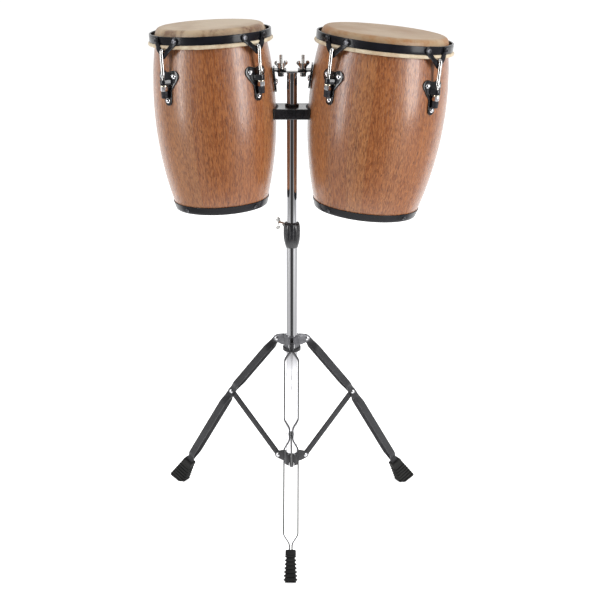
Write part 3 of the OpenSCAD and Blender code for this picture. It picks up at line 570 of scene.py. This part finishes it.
for size, drum in DRUMS.items():
    r = drum["hoop"]
    low = HOOP_TOP - HOOP_H
    band = arc(r - 0.7, low + 0.7, 0.7, -90, 0, 3) + arc(r - 0.7, HOOP_TOP - 0.7, 0.7, 0, 90, 3)
    band += arc(r - HOOP_T + 0.7, HOOP_TOP - 0.7, 0.7, 90, 180, 3)
    band += arc(r - HOOP_T + 0.7, low + 0.7, 0.7, 180, 270, 3)
    whole = turned(band, 128)
    ear = arc(-EAR_HALF, HOOP_MID, EYE_R, -20, 222.5, 14) + arc(*EAR_FOOT, 222.5, 317.5, 6)
    ear += arc(EAR_HALF, HOOP_MID, EYE_R, -42.5, 200, 14) + arc(0, 290, 3.4, -42, -138, 6)
    for lug in drum["lugs"]:
        plate = soften(slab(ear, 0, EAR_T), 0.5)
        sliced(sliced(plate, "X", range(-26, 27, 4)), "Y", (286, 290, 294, 298, 301))
        for vert in plate.verts:
            x, y, z = vert.co
            step = min(max((302 - y) / 15, 0), 1)
            out = r + 0.05 + z + EAR_OUT * step * step * (3 - 2 * step)
            lift = (EYE_T - EAR_T) * min(max((y - 297) / 4, 0), 1) if z > EAR_T / 2 else 0
            side = lug + x / (r + 1)
            vert.co = ((out + lift) * math.cos(side), (out + lift) * math.sin(side), y)
        join(whole, plate)
    finished(whole, size + "_hoop_with_ears", drum["place"], size + "_drum",
             [hoop_black], [size + "_tension_hoop", size + "_hoop_ears"], 40)

    screws = bmesh.new()
    aside = math.degrees(math.asin(EAR_HALF / r))
    for lug in drum["lugs"]:
        for y in (-aside, aside):
            join(screws, screw_head(4.4, 2, 1.7), facing(lug, y, HOOP_MID, r + 0.02 + EYE_T))
        seat = facing(lug, 0, BAND_H / 2, bow(drum, BAND_H / 2))
        seat = seat @ turn("Y", -shell_slope(drum, BAND_H / 2, 5)) @ move(0, 0, BAND_T + 0.1)
        join(screws, screw_head(3.6, 1.9, 1.5), seat)
    finished(screws, size + "_button_screws", drum["place"], size + "_drum",
             [dark_screw], [size + "_socket_screws"], 40)


# ---- Tuning rods, nuts and caps ----
# Chromed steel rods, bent over at the top to hook into the ears and threaded below. A long nut
# under each lug pulls the rod down, and a rubber cap covers the sharp end.

ROD_R = 3.2
HOOK_Z = 290.3
BRIDGE_Z = 232.5
NUT_Z = 222.2
NUT_H = 8
NUT_FLATS = 10.5
CAP_Z = 209.9
CAP_H = 12


def ring_of(r, steps=20):
    """The points of a circle in X and Y."""
    return [(r * math.cos(a), r * math.sin(a), 0)
            for a in (2 * math.pi * k / steps for k in range(steps))]


def swept(section, places):
    """Carries a closed section through a row of places, and closes both ends."""
    bm = bmesh.new()
    verts = [bm.verts.new(places[0] @ Vector(point)) for point in section]
    edges = [bm.edges.new(pair) for pair in zip(verts, verts[1:] + verts[:1])]
    bmesh.ops.contextual_create(bm, geom=edges)
    for before, place in zip(places, places[1:]):
        drawn_out = bmesh.ops.extrude_edge_only(bm, edges=edges)["geom"]
        verts = [part for part in drawn_out if isinstance(part, bmesh.types.BMVert)]
        fresh = set(verts)
        edges = [part for part in drawn_out if isinstance(part, bmesh.types.BMEdge)
                 and set(part.verts) <= fresh]
        bmesh.ops.transform(bm, matrix=place @ before.inverted(), verts=verts)
    bmesh.ops.contextual_create(bm, geom=edges)
    bmesh.ops.recalc_face_normals(bm, faces=bm.faces)
    return bm


def grown(scale):
    """A change of size across a section."""
    return Matrix.Diagonal((scale, scale, 1, 1))


def threaded(low, first, last, deep):
    """Places along Z, half a millimetre apart, that step in and out as a thread does."""
    return [move(0, 0, low + 0.5 * k) @ grown(1 if k % 2 else deep) for k in range(first, last)]


def hexed(bm, flats):
    """Trims a lathed shape to six flats."""
    for vert in bm.verts:
        out = vert.co.xy.length
        if out > flats / 2:
            sixth = (math.degrees(math.atan2(vert.co.y, vert.co.x)) % 60) - 30
            vert.co.xy *= min(out, flats / 2 / math.cos(math.radians(sixth))) / out
    return bm


chrome = worked_material("drum_plating", (0.82, 0.82, 0.84), (0.74, 0.74, 0.77), 0.05, 0.12,
                         patch=60, grain=300, depth=0.03, metallic=1.0)
rod_chrome = worked_material("rod_plating", (0.6, 0.59, 0.57), (0.48, 0.47, 0.46), 0.07, 0.16,
                             patch=90, grain=300, depth=0.03, metallic=1.0)
brassy = worked_material("washer_plating", (0.75, 0.7, 0.58), (0.68, 0.6, 0.45), 0.12, 0.24,
                         patch=90, depth=0.05, metallic=1.0)
cap_rubber = worked_material("cap_rubber", (0.014, 0.014, 0.017), (0.024, 0.024, 0.03), 0.38, 0.55,
                             patch=120, grain=1200, depth=0.15, shine=0.25)

for size, drum in DRUMS.items():
    out = drum["rod_r"]
    rods = bmesh.new()
    caps = bmesh.new()
    for index, lug in enumerate(drum["lugs"]):
        stand = turn("Z", math.degrees(lug)) @ move(out, 0, 0)
        threads = [move(0, 0, CAP_Z + 6)] + threaded(CAP_Z + 6, 0, 66, 0.93)
        threads += [move(0, 0, 250), move(0, 0, HOOK_Z - 3.6)]
        threads += [move(-3.6, 0, HOOK_Z - 3.6) @ turn("Y", -a) @ move(3.6, 0, 0)
                    for a in range(15, 91, 15)]
        threads += [move(-6.6, 0, HOOK_Z) @ turn("Y", -90), move(-7.2, 0, HOOK_Z) @ turn("Y", -90)
                    @ grown(0.9), move(-7.5, 0, HOOK_Z) @ turn("Y", -90) @ grown(0.7)]
        join(rods, swept(ring_of(ROD_R), threads), stand)
        washer = turned([(ROD_R, 0), (6.1, 0), (6.5, 0.4), (6.5, 1.6), (6.1, 2), (ROD_R, 2)], 32)
        for face in washer.faces:
            face.material_index = 1
        join(rods, washer, stand @ move(0, 0, BRIDGE_Z - 2.02))
        edge = NUT_FLATS / 2
        nut = hexed(turned([(ROD_R, 0.3), (edge - 0.2, 0), (edge + 0.8, 0.7),
                            (edge + 0.8, NUT_H - 0.7), (edge - 0.2, NUT_H),
                            (ROD_R, NUT_H - 0.3)], 48), NUT_FLATS)
        finished(nut, size + "_nut_" + str(index + 1), drum["place"] @ stand @ move(0, 0, NUT_Z),
                 size + "_nut_" + str(index + 1), [chrome],
                 [size + "_tuning_nut_" + str(index + 1)], 30)
        cap = [(0, 0)] + arc(3.6, 2, 2, -90, 0, 5) + [(5.45, 6), (5.7, 6.3), (5.75, CAP_H - 1)]
        cap += [(5.4, CAP_H - 0.3), (4.8, CAP_H), (ROD_R, CAP_H), (ROD_R, CAP_H - 1), (0, CAP_H - 1)]
        join(caps, turned(cap, 32), stand @ move(0, 0, CAP_Z))
    finished(rods, size + "_hook_rods", drum["place"], size + "_drum",
             [rod_chrome, brassy], [size + "_tuning_rods"], 40)
    finished(caps, size + "_rubber_caps", drum["place"], size + "_drum",
             [cap_rubber], [size + "_rod_caps"], 40)


# ---- Lug plates and their bolts ----
# Pressed steel plates, enamelled gloss black and bent to the shell. Three lobes take chromed
# dome bolts, and a raised bridge in the middle takes the pull of the rod.

LUG_T = 2.5
BOLT_HALF = 13.5
BOLT_TOP = 246
BOLT_LOW = 205
BOLT_R = 4.5
LOBE_R = 10.2
BRIDGE_H = 9
MOUNT_DROP = 25
MOUNT_BOLT_HALF = 11

lug_black = worked_material("gloss_enamel", (0.008, 0.008, 0.01), (0.012, 0.012, 0.015), 0.1, 0.2,
                            patch=70, grain=500, depth=0.04, coat=0.35, coat_roughness=0.05, shine=0.3)


def dome(r, high):
    """A domed bolt head along Z."""
    big = (r * r + high * high) / (2 * high)
    reach = math.degrees(math.asin(r / big))
    side = arc(0, high - big, big, 90, 90 - reach, 6)
    return turned([(0, -0.3), (r, -0.3)] + side[::-1], 28)


def shell_bolt(bolts, place, seat, nut_in, tail, top):
    """A dome bolt through the shell along Z, with its nut inside."""
    join(bolts, dome(BOLT_R, 3.4), place @ move(0, 0, seat))
    nut = hexed(turned([(0, 0), (4.4, 0), (5, 0.5), (5, 3.6), (0, 3.6)], 24), 8)
    join(bolts, nut, place @ move(0, 0, -SHELL_WALL - nut_in))
    join(bolts, round_pin(2.4, -SHELL_WALL - tail, top, 16), place)


for size, drum in DRUMS.items():
    plates = bmesh.new()
    bolts = bmesh.new()
    lobes = arc(-BOLT_HALF, BOLT_TOP, LOBE_R, 66, 215, 10) + arc(-17.4, 219.5, 9, 32, -16, 5)
    lobes += arc(0, BOLT_LOW, 8.6, 200, 340, 10) + arc(17.4, 219.5, 9, 196, 148, 5)
    lobes += arc(BOLT_HALF, BOLT_TOP, LOBE_R, -35, 114, 10) + [(5, 253.6), (0, 253), (-5, 253.6)]
    out = drum["rod_r"]
    for lug in drum["lugs"]:
        lug_turn = turn("Z", math.degrees(lug))
        plate = soften(slab(lobes, 0.1, LUG_T), 0.8, 3)
        sliced(sliced(plate, "X", range(-24, 25, 4)), "Y", range(200, 256, 9))
        for vert in plate.verts:
            x, y, z = vert.co
            raised = bow(drum, y) + z
            vert.co = (raised * math.cos(x / raised), raised * math.sin(x / raised), y)
        join(plates, plate, lug_turn)
        seat = bow(drum, BRIDGE_Z) - out + 0.6
        nose = arc(0, 0, 6.3, -72, 72, 12)
        bridge = soften(slab(nose + [(seat + 3, 8.6), (seat, 9.4), (seat, -9.4), (seat + 3, -8.6)],
                             BRIDGE_Z, BRIDGE_Z + BRIDGE_H), 0.8)
        join(plates, bridge, lug_turn @ move(out, 0, 0))
        for y, z in ((-BOLT_HALF, BOLT_TOP), (BOLT_HALF, BOLT_TOP), (0, BOLT_LOW)):
            face = bow(drum, z)
            place = facing(lug, math.degrees(math.asin(y / face)), z, face)
            shell_bolt(bolts, place @ turn("Y", -shell_slope(drum, z, 5)), LUG_T + 0.3, 6, 7.2, 1)
    lean = drum["axes"].to_3x3().col[2].angle(Vector((0, 0, 1)))
    z = (drum["hang"] - MOUNT_DROP) / math.cos(lean)
    middle = move(bow(drum, z) + 0.4, 0, z) @ turn("Y", -shell_slope(drum, z, 14))
    for side in (-1, 1):
        shell_bolt(bolts, middle @ move(0, side * MOUNT_BOLT_HALF, 0) @ turn("Y", 90), 3, 8.4, 9, 2)
    finished(plates, size + "_lugs", drum["place"], size + "_drum", [lug_black],
             [size + "_lug_plates"], 40)
    finished(bolts, size + "_dome_bolts", drum["place"], size + "_drum", [chrome],
             [size + "_shell_bolts"], 40)


# ---- Foot bands and hanging brackets ----
# A thin steel band hides the staves' ends at each shell's foot. Each drum hangs from a bent steel
# plate, bolted through the shell, whose slotted tongue slides under a wing nut. Both are black.

zinc = worked_material("zinc", (0.5, 0.5, 0.51), (0.42, 0.42, 0.44), 0.3, 0.45, patch=80,
                       metallic=1.0, depth=0.1)

for size, drum in DRUMS.items():
    inner = [(bow(drum, BAND_H * k / 4) + 0.05, BAND_H * k / 4) for k in range(5)]
    outer = [(bow(drum, z) + 0.05 + BAND_T, z) for z in (13.5, 10, 7, 4, 0.5)]
    top = [(bow(drum, BAND_H) + 0.05 + BAND_T * 0.7, BAND_H)]
    foot = [(bow(drum, 0) + 0.05 + BAND_T * 0.7, 0)]
    finished(turned(inner + top + outer + foot, 128), size + "_band", drum["place"],
             size + "_drum", [hoop_black], [size + "_foot_band"], 40)
    for cad_name, material in (("_mount_bracket", hoop_black), ("_backing_plates", zinc)):
        bpy.data.objects[size + cad_name].material_slots[0].material = material


# ---- Pole ----
# Two chromed steel tubes, the upper sliding in the lower on a white nylon bush.

MM = Matrix.Scale(0.001, 4)
UPPER_R = 9.525
LOWER_R = 11.1
TUBE_WALL = 1.2
MAST_LOW = 290
MAST_TOP = 860
COLUMN_LOW = 104
COLUMN_TOP = 568

pole_chrome = worked_material("pole_plating", (0.72, 0.72, 0.74), (0.66, 0.66, 0.69), 0.04, 0.09,
                              patch=14, grain=200, depth=0.015, metallic=1.0, stretch=(1, 1, 0.2))
nylon = worked_material("nylon", (0.8, 0.78, 0.72), (0.74, 0.72, 0.66), 0.4, 0.5, depth=0.05)

for name, body, r, low, high, cad_name in (
        ("inner_pole", "mast", UPPER_R, MAST_LOW, MAST_TOP, "upper_tube"),
        ("outer_pole", "column", LOWER_R, COLUMN_LOW, COLUMN_TOP, "lower_tube")):
    wall = [(r - TUBE_WALL, low), (r - 0.3, low), (r, low + 0.3), (r, high - 0.3),
            (r - 0.3, high), (r - TUBE_WALL, high)]
    finished(turned(wall, 72), name, MM, body, [pole_chrome], [cad_name])
bpy.data.objects["collar_bush"].material_slots[0].material = nylon


# ---- Height collar and its wing screw ----
# A moulded black sleeve with fluted grips clamps the lower tube. A chromed wing screw goes
# through it and the bush to grip the upper tube.

COLLAR_Z = 540
COLLAR_R = 15.7
GRIPS = 10
GROOVE_R = 2.7
HEIGHT_SCREW_Z = 582

moulded = worked_material("moulded_nylon", (0.018, 0.018, 0.021), (0.026, 0.026, 0.03), 0.22, 0.34,
                          patch=60, grain=900, depth=0.06, coat=0.3, coat_roughness=0.15)
stand_chrome = worked_material("screw_plating", (0.84, 0.83, 0.81), (0.76, 0.75, 0.73), 0.07, 0.16,
                               patch=70, grain=300, depth=0.04, metallic=1.0)

profile = [(11.1, 0), (COLLAR_R - 4.9, 0), (COLLAR_R - 4.5, 0.5), (COLLAR_R - 3.6, 3),
           (COLLAR_R - 2.4, 7.5), (COLLAR_R - 1.4, 12), (COLLAR_R - 0.6, 17), (COLLAR_R - 0.2, 22),
           (COLLAR_R, 27), (COLLAR_R, 32), (COLLAR_R - 0.2, 37), (COLLAR_R - 0.6, 41),
           (COLLAR_R - 1.3, 44), (COLLAR_R - 2.2, 46.5), (COLLAR_R - 3.2, 47.6), (11.9, 47.8),
           (11.1, 47)]
collar = turned(profile, 120)
for vert in collar.verts:
    out = vert.co.xy.length
    angle = math.atan2(vert.co.y, vert.co.x)
    if out > LOWER_R + 0.3:
        aside = math.radians((math.degrees(angle) + 180 / GRIPS) % (360 / GRIPS) - 180 / GRIPS)
        middle = COLLAR_R + 1.6
        across = middle * math.sin(aside)
        if abs(across) < GROOVE_R:
            reach = middle * math.cos(aside) - math.sqrt(GROOVE_R ** 2 - across ** 2)
            vert.co.xy *= min(out, reach) / out
    if vert.co.z > 45:
        vert.co.z -= 0.5 + 0.5 * math.cos(GRIPS * angle)
finished(collar, "fluted_collar", MM @ move(0, 0, COLLAR_Z), "column", [moulded],
         ["height_collar"], 50)


def wing_screw(tip, boss, wings):
    """A wing screw along Z: threaded shank, round boss and two flat wings."""
    bm = bmesh.new()
    rows = [move(0, 0, tip) @ grown(0.7), move(0, 0, tip + 0.6)]
    rows += threaded(tip + 0.6, 1, int((boss - tip) * 2), 0.9)
    join(bm, swept(ring_of(3), rows + [move(0, 0, boss + 1)]))
    top = wings + 1
    join(bm, turned([(0, boss), (4.1, boss), (4.6, boss + 0.5), (4.6, top - 1.6), (4.2, top - 0.6),
                     (3, top), (0, top)], 32))
    blade = arc(7.5, wings + 2.5, 4.6, -65, 150, 12) + arc(0, wings + 5.4, 3.4, -40, -140, 5)
    blade += arc(-7.5, wings + 2.5, 4.6, 30, 245, 12) + [(-3, boss + 6.5), (3, boss + 6.5)]
    join(bm, soften(slab(blade, -1.6, 1.6), 0.9, 3), turn("X", 90))
    return bm


finished(wing_screw(9.83, 16, COLLAR_R + 10), "height_screw_wings",
         MM @ move(0, 0, HEIGHT_SCREW_Z) @ turn("Z", 155) @ turn("Y", 90), "height_screw",
         [stand_chrome], ["height_wing_screw"], 40)


# ---- Top plate, studs and wing nuts ----
# A chromed steel plate welded on the upper tube. Each threaded stud is held by a hex nut below,
# and a chromed wing nut above clamps one drum's tongue.

STUD_X = 19.3
STUD_UP = 30.5
STUD_DOWN = 8
TONGUE_Z = 862.8

top = bmesh.new()
stadium = arc(STUD_X, 0, 8, -90, 90, 12) + arc(-STUD_X, 0, 8, 90, 270, 12)
join(top, soften(slab(stadium, MAST_TOP, MAST_TOP + 2.5), 0.5))
for side in (-1, 1):
    at = move(side * STUD_X, 0, 0)
    low, high = MAST_TOP - STUD_DOWN, MAST_TOP + STUD_UP
    rows = [move(0, 0, low) @ grown(0.8)] + threaded(low + 0.6, 0, 74, 0.88)
    join(top, swept(ring_of(3), rows + [move(0, 0, high) @ grown(0.75)]), at)
    nut = hexed(turned([(0, 0), (5, 0), (5.8, 0.8), (5.8, 7.5), (0, 7.5)], 48), 10)
    join(top, nut, at @ move(0, 0, MAST_TOP - 7.5))
    wing = bmesh.new()
    join(wing, turned([(3.05, 0.3), (5.9, 0), (6.4, 0.6), (5.0, 9.2), (4.5, 10), (3.05, 9.8)], 40))
    lobe = arc(8, 10.5, 4.2, -75, 130, 12) + [(5.3, 11), (3.4, 9), (3.4, 1.6), (5.6, 1.6)]
    for half in (0, 180):
        join(wing, soften(slab(lobe, -1.3, 1.3), 0.8, 3), turn("Z", 20 + half) @ turn("X", 90))
    size = "small" if side < 0 else "large"
    finished(wing, size + "_wings", MM @ move(side * STUD_X, 0, TONGUE_Z + 2.9),
             size + "_clamp_nut", [stand_chrome], [size + "_wing_nut"], 40)
finished(top, "studded_plate", MM, "mast", [stand_chrome], ["top_plate"], 40)


# ---- Rest bar and pads ----
# A moulded black block clamped round the upper tube. Its hollow ends carry rubber pads, and the
# two drums lean against them.

REST_TOP = 800
REST_H = 18.5
REST_HALF = 35
REACH = 27.6
PAD_T = 3

pad_rubber = worked_material("pad_rubber", (0.012, 0.012, 0.012), (0.022, 0.022, 0.022), 0.6, 0.8,
                             patch=60, depth=0.3)


def hollow(drum, grow, steps=10):
    """The curve in X and Y of a belly's side that faces the pole, from front to back."""
    r = drum["belly"] + grow
    middle = drum["side"] * (REACH + drum["belly"] - 0.1)
    return [(middle - drum["side"] * math.sqrt(r * r - y * y), y)
            for y in (REST_HALF * (2 * k / steps - 1) for k in range(steps + 1))]


def leaned(bm):
    """Leans each end of a shape with its drum."""
    for vert in bm.verts:
        if abs(vert.co.x) > 14:
            drum = DRUMS["small" if vert.co.x < 0 else "large"]
            tilt = drum["axes"].to_3x3().col[2]
            vert.co.x += (vert.co.z - REST_TOP + REST_H / 2) * tilt.x / tilt.z
    return bm


small, large = DRUMS["small"], DRUMS["large"]
bar = leaned(slab(hollow(large, PAD_T + 0.4) + hollow(small, PAD_T + 0.4)[::-1],
                  REST_TOP - REST_H, REST_TOP))
bar = soften(bar, 1.6, 3)
boss = turned([(9.6, -1), (12.5, -1), (12.5, 4), (11.6, 5), (9.6, 5)], 48)
join(bar, boss, move(0, 0, REST_TOP))
finished(bar, "rest_block", MM, "mast", [moulded], ["rest_bar"], 40)
pads = bmesh.new()
for drum in (small, large):
    strip = hollow(drum, 0.4) + hollow(drum, PAD_T + 0.3)[::-1]
    join(pads, soften(leaned(slab(strip, REST_TOP - REST_H + 0.2, REST_TOP - 0.2)), 0.5))
finished(pads, "belly_pads", MM, "mast", [pad_rubber], ["rest_pads"], 40)


# ---- Hubs ----
# Two pressed hubs on the lower tube. The upper slides, carries the legs between pairs of grey
# ears, and is locked by a wing screw behind. The lower is fixed, black, and carries the struts.

JOINT_AT = {j["name"]: Vector(j["pos_m"]) * 1000 for j in frame["joints"] if j.get("pos_m")}
HIP = (JOINT_AT["leg_1_swing"].xy.length, JOINT_AT["leg_1_swing"].z)
HUB_Z = HIP[1]
LOW_HUB_Z = 113
STRUT_FOOT = (30, LOW_HUB_Z)
LEG_AZ = (-90, 30, 150)
HUB_EAR_T = 1.5
HUB_EAR_GAP = 2.75
LOW_EAR_GAP = 1.8

hub_grey = worked_material("hub_grey", (0.16, 0.16, 0.17), (0.11, 0.11, 0.12), 0.32, 0.46,
                           patch=70, depth=0.1, metallic=0.6)
hub_black = worked_material("hub_black", (0.014, 0.014, 0.016), (0.022, 0.022, 0.026), 0.3, 0.45,
                            patch=70, depth=0.1, coat=0.2, shine=0.3)
rivet_zinc = worked_material("rivet_zinc", (0.66, 0.66, 0.67), (0.55, 0.55, 0.57), 0.22, 0.36,
                             patch=120, depth=0.05, metallic=1.0)


def ear_pair(y, pivot, low, high):
    """Two plates that stand out from a hub at plus and minus y, with +X outwards."""
    bm = bmesh.new()
    outline = [(12.6, low), (20, low)] + arc(pivot, 0, 6.5, -75, 75, 12) + [(20, high), (12.6, high)]
    for side in (-1, 1):
        start = y if side > 0 else -y - HUB_EAR_T
        plate = soften(slab(outline, start, start + HUB_EAR_T), 0.35)
        join(bm, plate, turn("X", 90) @ Matrix.Diagonal((1, 1, -1, 1)))
    return bm


def rivet_head(y):
    """A pair of domed rivet heads across Y."""
    bm = bmesh.new()
    for side in (-1, 1):
        join(bm, dome(4.1, 1.7), turn("X", -90 * side) @ move(0, 0, y))
    return bm


upper = turned([(11.25, -18), (16.5, -18), (17, -17.5), (17, -11.5), (16.5, -11), (14.4, -11),
                (14.4, 11.4), (13.8, 12), (11.25, 12)], 64)
for face in upper.faces:
    if face.calc_center_median().z < -10.9:
        face.material_index = 1
low_hub = turned([(0, -12), (13, -12), (14, -11), (14, 12), (13.4, 13), (11.1, 13), (11.1, -9),
                  (0, -9)], 64)
heads = bmesh.new()
low_heads = bmesh.new()
for az in LEG_AZ:
    join(upper, ear_pair(HUB_EAR_GAP, HIP[0], -10, 10), turn("Z", az))
    join(heads, rivet_head(HUB_EAR_GAP + HUB_EAR_T + 0.3), turn("Z", az) @ move(HIP[0], 0, 0))
    join(low_hub, ear_pair(LOW_EAR_GAP, STRUT_FOOT[0], -9, 11), turn("Z", az))
    join(low_heads, rivet_head(LOW_EAR_GAP + HUB_EAR_T + 0.2),
         turn("Z", az) @ move(STRUT_FOOT[0], 0, 0))
finished(upper, "sliding_hub", MM @ move(0, 0, HUB_Z), "leg_carrier",
         [hub_grey, hub_black], ["leg_collar"], 40)
finished(heads, "hub_rivet_heads", MM @ move(0, 0, HUB_Z), "leg_carrier",
         [rivet_zinc], ["collar_rivets"], 40)
finished(low_hub, "fixed_hub", MM @ move(0, 0, LOW_HUB_Z), "column", [hub_black],
         ["lower_hub"], 40)
finished(low_heads, "fixed_hub_rivet_heads", MM @ move(0, 0, LOW_HUB_Z), "column",
         [rivet_zinc], [], 40)
finished(wing_screw(11.4, 14.7, 26), "leg_lock_wings", MM @ move(0, 0, HUB_Z) @ turn("Z", 90)
         @ turn("Y", 90), "leg_lock", [stand_chrome], ["leg_lock_screw"], 40)


# ---- Legs, struts and feet ----
# Each leg is a pair of steel strips, pinched together at the hub, knee and foot and bowed apart
# between, in speckled charcoal powder coat. A flat strut braces each knee. The feet are rubber.

KNEE = (JOINT_AT["strut_1_swing"].xy.length, JOINT_AT["strut_1_swing"].z)
UPPER_RUN = math.dist(HIP, KNEE)
UPPER_SLOPE = math.degrees(math.atan2(HIP[1] - KNEE[1], KNEE[0] - HIP[0]))
LOWER_SLOPE = 59
LOWER_RUN = KNEE[1] / math.sin(math.radians(LOWER_SLOPE))
STRUT_RUN = math.dist(KNEE, STRUT_FOOT)
STRUT_SLOPE = math.degrees(math.atan2(KNEE[1] - STRUT_FOOT[1], KNEE[0] - STRUT_FOOT[0]))
STRIP_W = 13
STRIP_T = 2.4
STRIP_BOW = 11.6
STRIP_END = LOWER_RUN - 30
BOOT_TOP = LOWER_RUN - 57
TOE_FROM = 268
TOE_RISE = 24
RIB_PITCH = 47 / 7
RIB_IN = (4.6, 5)

powder = worked_material("powder_coat", (0.022, 0.022, 0.024), (0.032, 0.032, 0.035), 0.38, 0.55,
                         patch=30, grain=650, depth=0.5, shine=0.25)
powder_tree = powder.node_tree
powder_shader = powder_tree.nodes["Principled BSDF"]
base = powder_shader.inputs["Base Color"].links[0].from_socket
where = node(powder_tree, "TexCoord")
speck = node(powder_tree, "TexVoronoi", {"Vector": where.outputs["Object"], "Scale": 900.0})
fleck = ramped(powder_tree, speck.outputs["Distance"], 0.12, 0.3, 0.6, 0.0)
powder_tree.links.new(mixed(powder_tree, fleck, base, (0.11, 0.11, 0.12, 1)),
                      powder_shader.inputs["Base Color"])
boot_rubber = worked_material("boot_rubber", (0.011, 0.011, 0.011), (0.021, 0.021, 0.02), 0.5, 0.75,
                              patch=35, grain=900, depth=0.35, shine=0.15)


def eased(t):
    """A smooth step from 0 to 1."""
    t = min(max(t, 0), 1)
    return t * t * (3 - 2 * t)


def strip_gap(run, start, end, first, last, x):
    """Distance of a strip's inner face from the leg's middle plane, x along the run."""
    out = eased((x - first) / 22) * eased((run - last - x) / 22)
    near = start if x < run / 2 else end
    return near + (STRIP_BOW - near) * out


def leg_strip(side):
    """One strip of a leg, with +X outwards: from the hub's rivet, over the knee, to the foot."""
    half, thick, round_r = STRIP_W / 2, STRIP_T / 2, 0.7
    section = []
    for cx, cy, start in ((half, thick, 0), (-half, thick, 90), (-half, -thick, 180),
                          (half, -thick, 270)):
        inset_x, inset_y = math.copysign(half - round_r, cx), math.copysign(thick - round_r, cy)
        section += [(x, y, 0) for x, y in arc(inset_x, inset_y, round_r, start, start + 90, 3)]
    places = []
    total = UPPER_RUN + STRIP_END
    x = -half
    while x < total + 0.01:
        upper_part = x < UPPER_RUN
        along = x if upper_part else x - UPPER_RUN
        bend = eased((x - UPPER_RUN + 6) / 12)
        slope = UPPER_SLOPE + (LOWER_SLOPE - UPPER_SLOPE) * bend
        if upper_part:
            spot = turn("Y", UPPER_SLOPE) @ Vector((along, 0, 0)) + Vector((HIP[0], 0, HIP[1]))
            gap = strip_gap(UPPER_RUN, 0.05, 1.8, 7, 8, along)
        else:
            spot = turn("Y", LOWER_SLOPE) @ Vector((along, 0, 0)) + Vector((KNEE[0], 0, KNEE[1]))
            gap = strip_gap(STRIP_END, 1.8, 1.2, 8, 34, along)
        tip = half - (x + half)
        narrow = math.sqrt(max(1 - (tip / half) ** 2, 0.002)) if x < 0 else 1
        places.append(Matrix.Translation(spot) @ move(0, side * (gap + STRIP_T / 2), 0)
                      @ turn("Y", slope + 90) @ Matrix.Diagonal((narrow, 1, 1, 1)))
        x += 0.8 if x < 0 else 2.5
    return swept(section, places)


def boot():
    """A ribbed rubber foot, flat on the floor at its heel and cut away under its toe."""
    def block_at(x, wide, long):
        """A place that sizes the section, x along the leg."""
        return (Matrix.Translation((x, 0, 0)) @ turn("Y", 90)
                @ Matrix.Diagonal((long / 2, wide / 2, 1, 1)))
    corner = [(x, y, 0) for x, y in arc(0.76, 0.7, 0.24, 0, 90, 4)]
    section = corner + [(-x, y, 0) for x, y, _ in reversed(corner)]
    section += [(-x, -y, 0) for x, y, _ in corner] + [(x, -y, 0) for x, y, _ in reversed(corner)]
    rows = [block_at(BOOT_TOP, 17, 19), block_at(BOOT_TOP + 0.8, 19, 21),
            block_at(BOOT_TOP + 1.8, 20, 22), block_at(BOOT_TOP + 9.8, 20.4, 22.6)]
    for k in range(12):
        grow = min(1, (k + 1) / 7)
        wide, long = 20 + 6 * grow, 22 + 14 * grow
        x = BOOT_TOP + 10 + k * RIB_PITCH
        end = x + RIB_PITCH / 2
        sunk = (wide - RIB_IN[0], long - RIB_IN[1])
        edge = (wide - 0.6, long - 0.6)
        rows += [block_at(x, *sunk), block_at(x + 0.4, *edge), block_at(x + 0.9, wide, long),
                 block_at(end - 0.6, wide, long), block_at(end, *edge), block_at(end + 0.4, *sunk)]
    bm = swept(section, rows)
    bm.transform(move(KNEE[0], 0, KNEE[1]) @ turn("Y", LOWER_SLOPE))
    rise = math.radians(TOE_RISE)
    for x, way in ((0, (0, 0, -1)), (TOE_FROM, (math.sin(rise), 0, -math.cos(rise)))):
        cut = bmesh.ops.bisect_plane(bm, geom=bm.verts[:] + bm.edges[:] + bm.faces[:], dist=0.001,
                                     plane_co=(x, 0, 0.01), plane_no=way, clear_outer=True)
        rim = [part for part in cut["geom_cut"] if isinstance(part, bmesh.types.BMEdge)]
        bmesh.ops.contextual_create(bm, geom=rim)
    return bm


for number, az in enumerate(LEG_AZ, 1):
    facing_out = MM @ turn("Z", az)
    body = "leg_" + str(number)
    pair = bmesh.new()
    for side in (-1, 1):
        join(pair, leg_strip(side))
    finished(pair, "strips_" + str(number), facing_out, body, [powder], [body], 40)
    finished(rivet_head(4.25), "knee_heads_" + str(number), facing_out @ move(KNEE[0], 0, KNEE[1]),
             body, [rivet_zinc], ["knee_rivet_" + str(number)], 40)
    finished(boot(), "boot_" + str(number), facing_out, body, [boot_rubber],
             ["foot_" + str(number)], 40)
    bar = soften(slab(arc(0, 0, 5.75, 90, 270, 14) + arc(STRUT_RUN, 0, 5.75, -90, 90, 14),
                      -1.5, 1.5), 0.5)
    finished(bar, "brace_" + str(number), facing_out @ move(KNEE[0], 0, KNEE[1])
             @ turn("Y", 180 - STRUT_SLOPE) @ turn("X", 90), "strut_" + str(number),
             [powder], ["strut_" + str(number)], 40)
